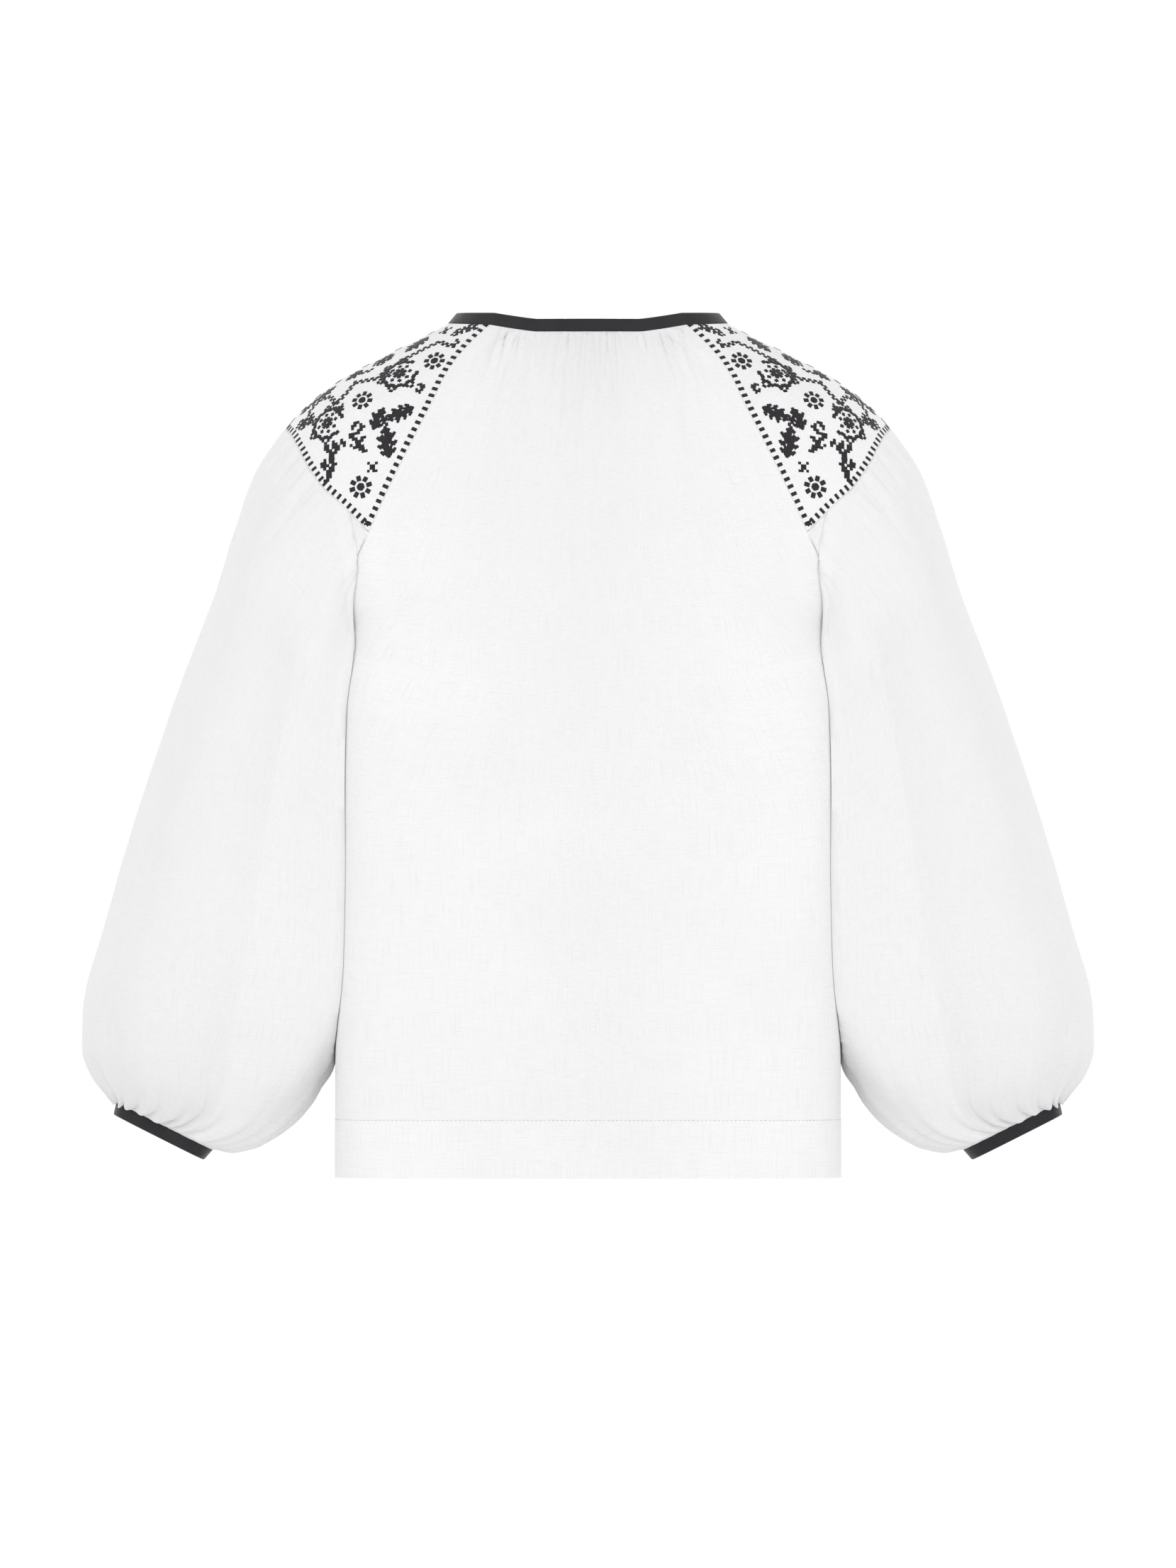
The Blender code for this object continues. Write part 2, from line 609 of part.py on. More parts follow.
def cloth_object(name, rows, normals, walls, finish, collection, closed=False, mirrored=False):
    """A wall of cloth: the outer rows, the same rows moved in by the wall, and the strips that close its edges."""
    flip = np.array([-1.0, 1.0, 1.0]) if mirrored else np.ones(3)
    mesh = bmesh.new()
    outer, inner = [], []
    for row, normal, wall in zip(inset(rows, closed), normals, walls):
        outer.append([mesh.verts.new(point * flip) for point in row])
        inner.append([mesh.verts.new(point * flip) for point in row - normal * wall])
    for k in range(len(rows) - 1):
        for face in strip_faces(outer[k], outer[k + 1], closed):
            mesh.faces.new(face)
        for face in strip_faces(inner[k], inner[k + 1], closed):
            mesh.faces.new(face[::-1])
    for face in strip_faces(inner[0], outer[0], closed) + strip_faces(outer[-1], inner[-1], closed):
        mesh.faces.new(face)
    if not closed:
        for k in range(len(rows) - 1):
            mesh.faces.new((outer[k][0], outer[k + 1][0], inner[k + 1][0], inner[k][0]))
            mesh.faces.new((inner[k][-1], inner[k + 1][-1], outer[k + 1][-1], outer[k][-1]))
    bmesh.ops.recalc_face_normals(mesh, faces=mesh.faces)
    data = bpy.data.meshes.new(name)
    mesh.to_mesh(data)
    mesh.free()
    data.shade_smooth()
    data.set_sharp_from_angle(angle=math.radians(50.0))
    data.materials.append(material(*finish))
    made = bpy.data.objects.new(name, data)
    collection.objects.link(made)
    return made


def material(name, colour, roughness):
    found = bpy.data.materials.get(name)
    if found:
        return found
    made = bpy.data.materials.new(name)
    made.use_nodes = True
    shader = made.node_tree.nodes["Principled BSDF"]
    shader.inputs["Base Color"].default_value = colour
    shader.inputs["Roughness"].default_value = roughness
    shader.inputs["Metallic"].default_value = 0.0
    return made


def panel_walls(rows):
    """The wall of each row of a panel. The hem is turned up inside, so it is two cloths thick."""
    hem_rows = len(hem_drops()) - 1
    return [CLOTH_WALL] * (len(rows) - hem_rows) + [HEM_WALL] * hem_rows


def build():
    for old in list(bpy.data.objects):
        bpy.data.objects.remove(old)
    shirt = bpy.data.collections.new("embroidered_shirt")
    bpy.context.scene.collection.children.link(shirt)
    for name, front in (("back_panel", False), ("front_panel", True)):
        rows, normals = panel_rows(front)
        cloth_object(name, rows, normals, panel_walls(rows), LINEN, shirt)
    for side, mirrored in (("right", False), ("left", True)):
        rows, normals = yoke_rows()
        walls = [CLOTH_WALL] * len(rows)
        cloth_object(f"yoke_{side}", rows, normals, walls, LINEN, shirt, mirrored=mirrored)
        rows, normals = sleeve_rows()
        walls = [CLOTH_WALL] * len(rows)
        cloth_object(f"sleeve_{side}", rows, normals, walls, LINEN, shirt, closed=True, mirrored=mirrored)
        rows, normals = cuff_rows()
        walls = [TAPE_WALL] * len(rows)
        cloth_object(f"cuff_{side}", rows, normals, walls, TAPE, shirt, closed=True, mirrored=mirrored)
    rows, normals = neckband_rows()
    cloth_object("neckband", rows, normals, [TAPE_WALL] * len(rows), TAPE, shirt, closed=True)


build()
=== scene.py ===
"""Visible cloth, tape, stitches and embroidery of an empty, filled-out peasant shirt, sewn around its frame."""

import json
import math

import bpy
import numpy as np
from mathutils import Matrix, Vector
from mathutils.bvhtree import BVHTree

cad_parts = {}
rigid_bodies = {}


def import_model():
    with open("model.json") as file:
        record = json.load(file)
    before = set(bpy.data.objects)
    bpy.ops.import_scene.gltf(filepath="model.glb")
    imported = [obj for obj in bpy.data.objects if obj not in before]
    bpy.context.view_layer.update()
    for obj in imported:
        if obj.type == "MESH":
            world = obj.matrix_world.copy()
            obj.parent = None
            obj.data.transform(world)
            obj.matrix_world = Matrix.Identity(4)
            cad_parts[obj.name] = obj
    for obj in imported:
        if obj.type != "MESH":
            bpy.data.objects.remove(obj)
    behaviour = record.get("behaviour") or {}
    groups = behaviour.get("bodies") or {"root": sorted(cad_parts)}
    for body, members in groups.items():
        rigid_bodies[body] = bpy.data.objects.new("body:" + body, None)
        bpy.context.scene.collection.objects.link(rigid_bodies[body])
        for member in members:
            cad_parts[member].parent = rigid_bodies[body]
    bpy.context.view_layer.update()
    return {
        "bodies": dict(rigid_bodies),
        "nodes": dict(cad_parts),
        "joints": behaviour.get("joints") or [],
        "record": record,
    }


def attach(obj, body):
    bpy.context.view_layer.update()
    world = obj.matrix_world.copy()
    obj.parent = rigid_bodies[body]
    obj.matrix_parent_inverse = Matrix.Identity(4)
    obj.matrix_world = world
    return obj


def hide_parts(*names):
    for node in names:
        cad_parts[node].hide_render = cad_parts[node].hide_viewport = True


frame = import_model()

bl_info = {
    "name": "Embroidered shirt",
    "version": (1, 0, 0),
    "blender": (4, 5, 0),
    "location": "3D View > Sidebar > Shirt",
    "description": "Sews the cloth, tape, stitches and embroidery of a peasant shirt around its solids",
    "category": "Object",
}

MM = 0.001

# The cut, in millimetres, as in the solids, but with squarer corners where the body and the sleeves touch.
# A drop is a distance below the origin, a turn goes from the centre back round to the centre front.
BACK_NECK_DROP = 14.6
FRONT_NECK_DROP = 75.0
BACK_SEAM_TOP = 9.0
FRONT_SEAM_TOP = 22.0
SIDE_NECK_DROP = 7.6
YOKE_TIP_DROP = 176.4
UNDERARM_DROP = 255.0
HEM_DEPTH = 45.0
SHIRT_DROP = 695.0
TAPE_WIDTH = 10.0
SEAM_INSET = 0.12  # half the gap between two sewn pieces

BODY_COLUMNS = ("drop", "half_width", "back_depth", "front_depth", "squareness")
BODY_SECTIONS = (
    (-4.0, 95.5, 50.0, 50.0, 2.0),
    (8.0, 112.0, 56.0, 55.0, 2.0),
    (17.0, 128.0, 61.0, 59.0, 2.0),
    (33.0, 160.5, 70.0, 65.0, 2.0),
    (56.0, 202.0, 82.0, 73.0, 2.0),
    (79.0, 230.5, 93.0, 83.0, 2.0),
    (101.0, 249.5, 101.0, 93.0, 2.0),
    (124.0, 265.0, 107.0, 103.0, 2.0),
    (147.0, 275.5, 111.0, 111.0, 2.0),
    (172.0, 283.0, 114.0, 117.0, 2.0),
    (192.0, 252.0, 115.7, 120.0, 2.5),
    (214.0, 222.0, 116.7, 122.0, 3.3),
    (235.0, 204.0, 117.3, 123.3, 4.4),
    (255.0, 196.0, 117.7, 124.2, 5.5),
    (284.0, 197.4, 118.0, 124.8, 6.2),
    (318.0, 199.0, 118.1, 125.0, 6.4),
    (386.0, 202.5, 117.0, 123.0, 6.4),
    (540.0, 203.2, 116.0, 119.0, 6.2),
    (700.0, 203.2, 115.0, 117.0, 5.4),
)
EDGE_COLUMNS = ("drop", "half_width")
BACK_EDGE = (
    (9.0, 78.0),
    (21.0, 91.1),
    (34.0, 103.3),
    (50.5, 114.4),
    (72.7, 125.2),
    (107.0, 142.7),
    (142.0, 160.0),
    (176.4, 175.6),
    (200.0, 186.0),
    (228.0, 192.6),
    (255.0, 196.0),
)
FRONT_EDGE = (
    (22.0, 84.0),
    (40.0, 98.0),
    (60.0, 111.5),
    (90.0, 131.0),
    (120.0, 148.0),
    (150.0, 164.0),
    (176.4, 175.6),
    (200.0, 186.0),
    (228.0, 192.6),
    (255.0, 196.0),
)
YOKE_COLUMNS = ("turn", "drop")
YOKE_EDGE = (
    (63.0, 176.4),
    (68.0, 155.5),
    (72.0, 141.0),
    (76.0, 123.5),
    (80.0, 108.0),
    (84.3, 97.5),
    (90.0, 92.5),
)
SLEEVE_COLUMNS = ("along", "outer", "outer_drop", "inner", "inner_drop", "half_depth", "forward")
SLEEVE_RINGS = (
    (0.0, 243.0, 92.5, 196.5, 255.0, 88.0, 1.0),
    (35.0, 265.0, 124.0, 196.0, 275.0, 90.0, 0.0),
    (85.0, 282.5, 170.0, 195.0, 305.0, 91.0, -1.0),
    (145.0, 300.5, 228.0, 194.0, 345.0, 92.0, -2.0),
    (240.0, 332.5, 318.0, 193.0, 405.0, 95.0, -1.0),
    (335.0, 362.5, 409.0, 192.0, 465.0, 98.0, 2.0),
    (430.0, 389.0, 500.0, 193.0, 525.0, 99.0, 6.0),
    (490.0, 403.0, 560.0, 197.5, 568.0, 96.0, 10.0),
    (522.0, 404.5, 592.0, 206.5, 597.0, 89.0, 13.0),
    (545.0, 397.5, 613.0, 217.5, 625.0, 79.0, 15.0),
    (570.0, 386.5, 627.5, 238.0, 652.0, 64.0, 17.0),
    (590.0, 382.0, 633.0, 269.0, 669.5, 46.0, 18.0),
    (604.0, 379.5, 635.5, 303.5, 673.8, 30.0, 18.0),
)
SLEEVE_LENGTH = SLEEVE_RINGS[-1][0]
SLEEVE_SQUARENESS = 2.8
SEAM_REACH = 120.0  # how far down a sleeve its seam's form reaches
YOKE_TURN = 100.0  # half the angle that the yoke takes up round the top of a sleeve
CUFF_NARROWING = 0.94
CUFF_LEAN = 27.0

# Where a sleeve lies against the body: how much squarer it is there, and from where to where along it
NESTLING = 14.0
NESTLING_START, NESTLING_RISE = 10.0, 60.0
NESTLING_END, NESTLING_FALL = 440.0, 130.0

# Up to this distance from the body the sleeve clings to it, and keeps this clearance
CLING, CLING_RUN = 3.0, 9.0
BODY_CLEARANCE, CLEARANCE_RUN, CLEARANCE_SOFTNESS = 0.35, 15.0, 0.3

# Past this angle round a sleeve, and down to this length along it, its cloth is pressed smooth
PRESSED_ANGLE, PRESSED_ANGLE_RUN = 130.0, 18.0
PRESSED_END, PRESSED_FALL = 430.0, 90.0

# Past this turn, in degrees, the body's cloth lies smooth against a sleeve, from this drop down
SIDE_TURN, SIDE_TURN_RUN = 63.0, 15.0
SIDE_TOP, SIDE_TOP_RUN = 195.0, 60.0

# The back neck edge runs level up to this share of its half width, then rises. The front one is a bow.
NECK_LEVEL = 0.58
NECK_LIFT_POWER = 1.3
FRONT_NECK_POWER = 2.0
BAND_LEAN = 0.45

# Rows of a panel: from the neck to the yoke's tip, down the armhole, down the side, at the hem's fold and below it
NECK_ROWS, NECK_CROWDING = 46, 1.3
ARMHOLE_ROWS, ARMHOLE_CROWDING = 34, 6
SIDE_ROWS, SIDE_ROWS_END = 50, 4.0
FOLD_ROWS = (-2.0, -1.0, -0.4, 0.0, 0.5, 1.2, 2.5)
HEM_ROWS, HEM_ROWS_START, HEM_ROWS_END = 9, 6.0, 2.5
EDGE_ROWS = (1.2, 0.4, 0.0)
PANEL_COLUMNS = 241
UNDERARM_SAG = 38.0  # how much lower the rows run at the centre than at the underarm
SPREAD_RUN = 230.0  # over which length a row's points spread out to the side seam
EDGE_PULL = 6

# Rows and columns of a yoke, and stations and columns of a sleeve, with more under the yoke, where the gathers are
YOKE_ROWS, YOKE_SPANS = 80, 101
SLEEVE_STATIONS = ((0.0, 42.0, 20), (46.0, 520.0, 52), (526.0, 584.0, 18), (586.0, 602.0, 13), (603.2, 604.0, 2))
SLEEVE_HEAD_COLUMNS, SLEEVE_SIDE_COLUMNS = 237, 43
FINE_ARMHOLE, FINE_YOKE, FINE_HEM = 600, 400, 2000  # points on a line before it is divided evenly
SHARP_ANGLE = 62.0
YOKE_MAP_WIDTH = 0.2

# Soft folds of a panel: place across it at the top and at the hem, half width, start, end and depth
BACK_FOLDS = (
    (-0.66, -0.58, 0.09, 10.0, 430.0, -4.0),
    (-0.42, -0.45, 0.08, 10.0, 760.0, 3.6),
    (-0.17, -0.2, 0.08, 10.0, 400.0, -2.8),
    (0.08, 0.1, 0.09, 10.0, 760.0, 3.4),
    (0.33, 0.36, 0.08, 10.0, 480.0, -3.0),
    (0.58, 0.66, 0.09, 20.0, 760.0, 4.2),
)
FRONT_FOLDS = (
    (-0.66, -0.7, 0.09, 30.0, 760.0, 4.4),
    (-0.42, -0.4, 0.08, 60.0, 520.0, -3.8),
    (-0.17, -0.24, 0.09, 70.0, 760.0, 4.6),
    (0.08, 0.0, 0.08, 70.0, 430.0, -3.4),
    (0.33, 0.3, 0.09, 60.0, 760.0, 4.0),
    (0.62, 0.64, 0.09, 30.0, 560.0, -4.0),
)

# Soft folds of a sleeve: angle round it at the shoulder and at the cuff, half width, start, end and depth
SLEEVE_FOLDS = (
    (118.0, 96.0, 13.0, 10.0, 330.0, -6.0),
    (78.0, 62.0, 12.0, 0.0, 470.0, 4.0),
    (40.0, 34.0, 13.0, 0.0, 300.0, -3.6),
    (100.0, 78.0, 14.0, 250.0, 640.0, 4.4),
    (52.0, 40.0, 13.0, 330.0, 640.0, -4.2),
    (4.0, 10.0, 14.0, 120.0, 640.0, 3.0),
    (-38.0, -30.0, 13.0, 0.0, 420.0, -4.2),
    (-70.0, -58.0, 13.0, 60.0, 640.0, 4.4),
    (-112.0, -92.0, 14.0, 10.0, 360.0, -5.4),
    (-150.0, -130.0, 15.0, 300.0, 640.0, 3.6),
    (150.0, 136.0, 15.0, 260.0, 640.0, -3.4),
)
FOLD_RISE = 70.0
FOLD_FADE = 60.0
SLEEVE_FOLD_FULLNESS = 0.7

# Creases: three places along each (x and drop on a panel, angle and length along a sleeve), then half
# width and depth in millimetres
BACK_CREASES = (
    (-68.0, 16.0, -90.0, 34.0, -106.0, 86.0, 4.6, -1.7),
    (66.0, 16.0, 89.0, 36.0, 108.0, 80.0, 4.4, -1.8),
    (-45.0, 24.0, -46.0, 120.0, -45.0, 265.0, 3.6, 1.6),
    (-24.5, 20.0, -24.0, 140.0, -25.0, 300.0, 3.4, 1.5),
    (-3.5, 22.0, -4.0, 130.0, -3.0, 270.0, 3.2, 1.6),
    (15.0, 20.0, 15.0, 130.0, 16.0, 290.0, 3.6, 1.4),
    (33.5, 22.0, 34.0, 140.0, 33.0, 310.0, 3.4, 1.7),
    (50.5, 24.0, 51.0, 120.0, 53.0, 250.0, 3.6, 1.4),
    (-166.0, 176.0, -158.0, 236.0, -163.0, 330.0, 8.0, -2.6),
    (167.0, 178.0, 160.0, 228.0, 164.0, 310.0, 8.0, -2.4),
    (-176.0, 330.0, -168.0, 430.0, -172.0, 560.0, 7.0, -1.8),
    (174.0, 350.0, 170.0, 460.0, 173.0, 600.0, 7.0, -1.8),
    (-110.0, 420.0, -104.0, 520.0, -107.0, 640.0, 9.0, 1.4),
    (96.0, 380.0, 102.0, 500.0, 99.0, 645.0, 9.0, -1.5),
)

# Tucks that run out of the gathers, with the same columns
BACK_TUCKS = (
    (-57.5, 16.0, -68.8, 52.0, -81.0, 190.0, 2.1, -3.3),
    (58.5, 16.0, 69.2, 54.0, 82.0, 182.0, 2.1, -3.3),
    (-65.0, 15.0, -84.0, 36.0, -103.0, 84.0, 2.8, -1.5),
    (64.0, 15.0, 85.0, 38.0, 106.0, 90.0, 2.8, -1.5),
)
FRONT_TUCKS = (
    (-50.0, 72.0, -62.0, 120.0, -72.0, 240.0, 2.4, -2.4),
    (51.0, 72.0, 63.0, 126.0, 74.0, 250.0, 2.4, -2.4),
)

FRONT_CREASES = (
    (-46.0, 74.0, -58.0, 130.0, -64.0, 240.0, 4.0, -2.6),
    (49.0, 74.0, 57.0, 140.0, 66.0, 226.0, 4.2, -2.5),
    (-70.0, 60.0, -92.0, 100.0, -104.0, 160.0, 5.0, -1.9),
    (72.0, 58.0, 90.0, 96.0, 108.0, 170.0, 5.0, -1.8),
    (-24.0, 84.0, -27.0, 170.0, -25.0, 280.0, 5.2, 1.8),
    (-4.0, 84.0, -2.0, 190.0, -5.0, 300.0, 5.6, 1.6),
    (18.0, 84.0, 20.0, 160.0, 18.0, 262.0, 5.0, 1.8),
    (-166.0, 178.0, -159.0, 240.0, -164.0, 340.0, 8.0, -2.6),
    (167.0, 176.0, 158.0, 232.0, 165.0, 320.0, 8.0, -2.5),
    (-92.0, 400.0, -86.0, 520.0, -90.0, 645.0, 9.0, 1.7),
    (112.0, 360.0, 118.0, 480.0, 114.0, 640.0, 9.0, -1.7),
)
SLEEVE_CREASES = (
    (112.0, 8.0, 118.0, 60.0, 112.0, 150.0, 5.0, -1.0),
    (96.0, 12.0, 97.0, 80.0, 90.0, 190.0, 5.0, 1.4),
    (34.0, 604.0, 28.0, 560.0, 12.0, 440.0, 5.0, -2.6),
    (66.0, 604.0, 60.0, 552.0, 66.0, 430.0, 5.5, 2.2),
    (92.0, 604.0, 98.0, 560.0, 88.0, 486.0, 5.0, -2.4),
    (120.0, 604.0, 126.0, 556.0, 138.0, 470.0, 5.5, 2.2),
    (8.0, 604.0, 2.0, 548.0, 8.0, 420.0, 5.0, 2.0),
    (158.0, 604.0, 160.0, 560.0, 150.0, 500.0, 5.0, -2.0),
    (-30.0, 604.0, -24.0, 556.0, -34.0, 440.0, 5.0, -2.4),
    (-62.0, 604.0, -66.0, 560.0, -56.0, 470.0, 5.0, 2.2),
    (-96.0, 604.0, -90.0, 552.0, -98.0, 450.0, 5.0, -2.3),
    (-130.0, 604.0, -136.0, 560.0, -128.0, 500.0, 5.0, 2.0),
    (-114.0, 10.0, -120.0, 70.0, -112.0, 170.0, 5.0, -1.0),
    (60.0, 250.0, 48.0, 330.0, 44.0, 430.0, 8.0, 1.8),
    (-50.0, 220.0, -60.0, 320.0, -56.0, 420.0, 8.0, -1.8),
)
SLEEVE_CREASE_SCALE = 1.45  # millimetres to a degree round a sleeve
CREASE_WIDENING, CREASE_FADE = 0.8, 12.0
TUCK_SLOPE, TUCK_EDGE = 0.7, 2.2

# Gathers: how unevenly they are set and drift, in shares of their pitch, and the ranges of their sizes
GATHER_SHIFT, GATHER_DRIFT = 0.28, 0.9
GATHER_LENGTHS, GATHER_HEIGHTS, GATHER_WIDTHS = (0.45, 1.7), (0.45, 1.25), (0.46, 0.62)
GATHER_ROUNDNESS, GATHER_FALL, GATHER_SINK = 0.65, 1.4, 0.45
NECK_GATHERS = {"count": 32, "depth": 3.4, "run": 34.0}
HEAD_GATHERS = {"seed": 41, "count": 30, "reach": YOKE_TURN + 4.0, "depth": 1.9, "run": 46.0}
CUFF_GATHERS = {"seed": 43, "count": 44, "reach": 180.0, "depth": 1.5, "run": 60.0}
NECK_FAN = 0.004  # how much the neck's gathers spread on their way down

# What differs between back and front: seed, how far the gathers reach from the middle, and how full the folds are
BACK_SHAPE = (11, 80.0, 0.55)
FRONT_SHAPE = (21, 84.0, 0.9)

# Low waves of the cloth: their number, and the ranges of their lengths and of their patches, in wavelengths
WAVES, WAVE_LENGTHS, PATCH_LENGTHS = 9, (0.7, 1.7), (3.0, 6.0)

# Seed, wavelength, how upright the waves run, height, and the lengths over which they set in
PANEL_CRUMPLES = ((1, 46.0, 0.25, 0.9, 60.0), (2, 17.0, 0.4, 0.22, 30.0))
YOKE_CRUMPLES = ((31, 60.0, 1.0, 0.7), (32, 24.0, 1.0, 0.25))
YOKE_RIM = 0.125
SLEEVE_CRUMPLES = ((44, 52.0, 0.35, 1.2, 40.0, 30.0), (45, 18.0, 0.5, 0.3, 30.0, 20.0))
HEM_WAVE = (3, 90.0, 0.1, 1.6)
HEM_WAVE_TOP, HEM_WAVE_RUN = 560.0, 120.0

# The hem: its step at the fold, how much thicker and more opaque it is, and the puckers of its stitches. Its
# doubled cloth is paler; the panels' single cloth gets part of that paleness as painted light.
HEM_STEP, HEM_STEP_RUN = 0.35, 1.6
HEM_THICKENING = 0.9
# Painted light: the panels' single cloth takes this share of the doubled hem's paler colour, so the sleeves and
# yokes of the same cloth read darker, as painted shade.
PANEL_PAINTED_LIGHT = 0.6
PUCKER, PUCKER_PITCH, PUCKER_REACH = 0.22, 1.15, 5.0

# Gathers above the cuff: puffs with sharp valleys
PUFF_SEED, PUFF_COUNT, PUFF_HEIGHT, PUFF_DEPTH, PUFF_REACH = 52, 26, 7.5, 2.6, 26.0


def smooth(share):
    """An ease from 0 to 1."""
    share = np.clip(share, 0.0, 1.0)
    return share * share * (3.0 - 2.0 * share)


def unit(vectors):
    return vectors / np.maximum(np.linalg.norm(vectors, axis=-1, keepdims=True), 1e-12)


def lengths_along(points):
    """The length from the first point of a line to each of its points."""
    return np.concatenate([[0.0], np.cumsum(np.linalg.norm(np.diff(points, axis=0), axis=1))])


def read_along(at, along, values):
    """Points or directions of a line, read at some lengths along it."""
    return np.stack([np.interp(at, along, column) for column in values.T], axis=1)


def glide(at, stations, values):
    """A smooth curve through the stations that never overshoots them."""
    x, y = np.asarray(stations, float), np.asarray(values, float)
    at = np.clip(np.asarray(at, float), x[0], x[-1])
    run, rise = np.diff(x), np.diff(y)
    slope = rise / run
    tangent = np.concatenate([[slope[0]], np.zeros(len(x) - 2), [slope[-1]]])
    same = slope[:-1] * slope[1:] > 0
    before, after = 2 * run[1:] + run[:-1], run[1:] + 2 * run[:-1]
    safe = np.where(same, slope[:-1], 1.0), np.where(same, slope[1:], 1.0)
    mean = (before + after) / (before / safe[0] + after / safe[1])
    tangent[1:-1] = np.where(same, mean, 0.0)
    k = np.clip(np.searchsorted(x, at, side="right") - 1, 0, len(run) - 1)
    t = (at - x[k]) / run[k]
    return (
        y[k] * (1 + 2 * t) * (1 - t) ** 2
        + tangent[k] * run[k] * t * (1 - t) ** 2
        + y[k + 1] * t * t * (3 - 2 * t)
        + tangent[k + 1] * run[k] * t * t * (t - 1)
    )


def read(columns, rows, wanted, at):
    """One column of a table, read smoothly at any value of its first column."""
    k = columns.index(wanted)
    return glide(at, [row[0] for row in rows], [row[k] for row in rows])


def body_section(drop):
    """Half width, back depth, front depth and squareness of the body's section."""
    return [read(BODY_COLUMNS, BODY_SECTIONS, name, drop) for name in BODY_COLUMNS[1:]]


def body_sizes(turn, drop):
    """Half width, depth and squareness of the body's section, the depth being that of the nearer side."""
    half_width, back, front, squareness = body_section(drop)
    return half_width, np.where(np.cos(turn) >= 0, back, front), squareness


def body_surface(turn, drop):
    """A point of the body's outer face, with the turn 0 at the centre back and pi at the centre front."""
    half_width, depth, squareness = body_sizes(turn, drop)
    across = np.abs(np.sin(turn) / half_width) ** squareness
    along = np.abs(np.cos(turn) / depth) ** squareness
    radius = (across + along) ** (-1.0 / squareness)
    return np.stack([radius * np.sin(turn), -radius * np.cos(turn), -drop + 0 * turn], axis=-1)


def body_normal(turn, drop):
    """The outward normal of the body's outer face."""
    step, small = 0.5, 0.004
    around = body_surface(turn + small, drop) - body_surface(turn - small, drop)
    down = body_surface(turn, drop + step) - body_surface(turn, drop - step)
    normal = unit(np.cross(down, around))
    outward = np.stack([np.sin(turn), -np.cos(turn), 0 * turn], axis=-1)
    return np.where((normal * outward).sum(-1, keepdims=True) < 0, -normal, normal)


def body_half_width_at(y, drop):
    """How far out the body's side is at a depth y."""
    half_width, back, front, squareness = body_section(drop)
    share = np.clip(np.abs(y) / np.where(y < 0, back, front), 0.0, 1.0)
    return half_width * (1.0 - share**squareness) ** (1.0 / squareness)


def edge_turn(front, drop):
    """The turn at which the back or front panel meets its neighbour, at a drop."""
    table = FRONT_EDGE if front else BACK_EDGE
    half_width, depth, squareness = body_sizes(np.full_like(drop, math.pi if front else 0.0), drop)
    x = np.minimum(read(EDGE_COLUMNS, table, "half_width", drop), half_width)
    y = depth * (1.0 - (x / half_width) ** squareness) ** (1.0 / squareness)
    turn = np.arctan2(x, y)
    return math.pi - turn if front else turn


def armhole_drops(front, count):
    """Drops at even lengths along the armhole, from the yoke's tip to the underarm, where it turns level."""
    above = (1.0 - np.linspace(0.0, 1.0, FINE_ARMHOLE)) ** ARMHOLE_CROWDING
    fine = UNDERARM_DROP - (UNDERARM_DROP - YOKE_TIP_DROP) * above
    along = lengths_along(body_surface(edge_turn(front, fine), fine))
    return np.interp(np.linspace(0.0, along[-1], count), along, fine)


def seam_lean(normal, drop):
    """Turns normals at the armhole down towards the underarm, where the body's cloth turns into the sleeve's."""
    share = smooth((drop - YOKE_TIP_DROP) / (UNDERARM_DROP - YOKE_TIP_DROP)) * (drop <= UNDERARM_DROP)
    share = np.reshape(share, np.shape(drop) + (1,))
    return unit((1.0 - share) * normal + share * np.array([0.0, 0.0, -1.0]))


def panel_line(front, place, edge, centre):
    """Turn and drop of points across a panel, on the line that has these drops at its edge and centre."""
    level = 0.0 if front else NECK_LEVEL
    power = FRONT_NECK_POWER if front else NECK_LIFT_POWER
    lift = np.clip((np.abs(place) - level) / (1.0 - level), 0.0, 1.0) ** power
    tip = turn_at(False, YOKE_TIP_DROP)
    limit = turn_at(front, min(edge, UNDERARM_DROP))
    limit = math.pi - limit if front else limit
    inner = min(limit, tip + (math.pi / 2 - tip) * smooth((edge - YOKE_TIP_DROP) / SPREAD_RUN))
    turn = place * inner + np.sign(place) * np.abs(place) ** EDGE_PULL * (limit - inner)
    return math.pi - turn if front else turn, centre + (edge - centre) * lift


def yoke_edge_drop(turn):
    from_back = np.degrees(np.minimum(turn, math.pi - turn))
    return read(YOKE_COLUMNS, YOKE_EDGE, "drop", from_back)


def even_turns(low, high, drop_at):
    """Turns along a line of the yoke, with their shares of its length."""
    fine = np.linspace(low, high, FINE_YOKE)
    along = lengths_along(body_surface(fine, drop_at(fine)))
    return along / along[-1], fine


def turn_at(front, drop):
    return edge_turn(front, np.array([drop]))[0]


NECK_ENDS = turn_at(False, BACK_SEAM_TOP), turn_at(True, FRONT_SEAM_TOP)
TIP_ENDS = turn_at(False, YOKE_TIP_DROP), turn_at(True, YOKE_TIP_DROP)


def neck_drop(turn):
    turns = NECK_ENDS[0], math.pi / 2, NECK_ENDS[1]
    return glide(turn, turns, (BACK_SEAM_TOP, SIDE_NECK_DROP, FRONT_SEAM_TOP))


NECK_SHARES = even_turns(*NECK_ENDS, neck_drop)
TIP_SHARES = even_turns(*TIP_ENDS, yoke_edge_drop)


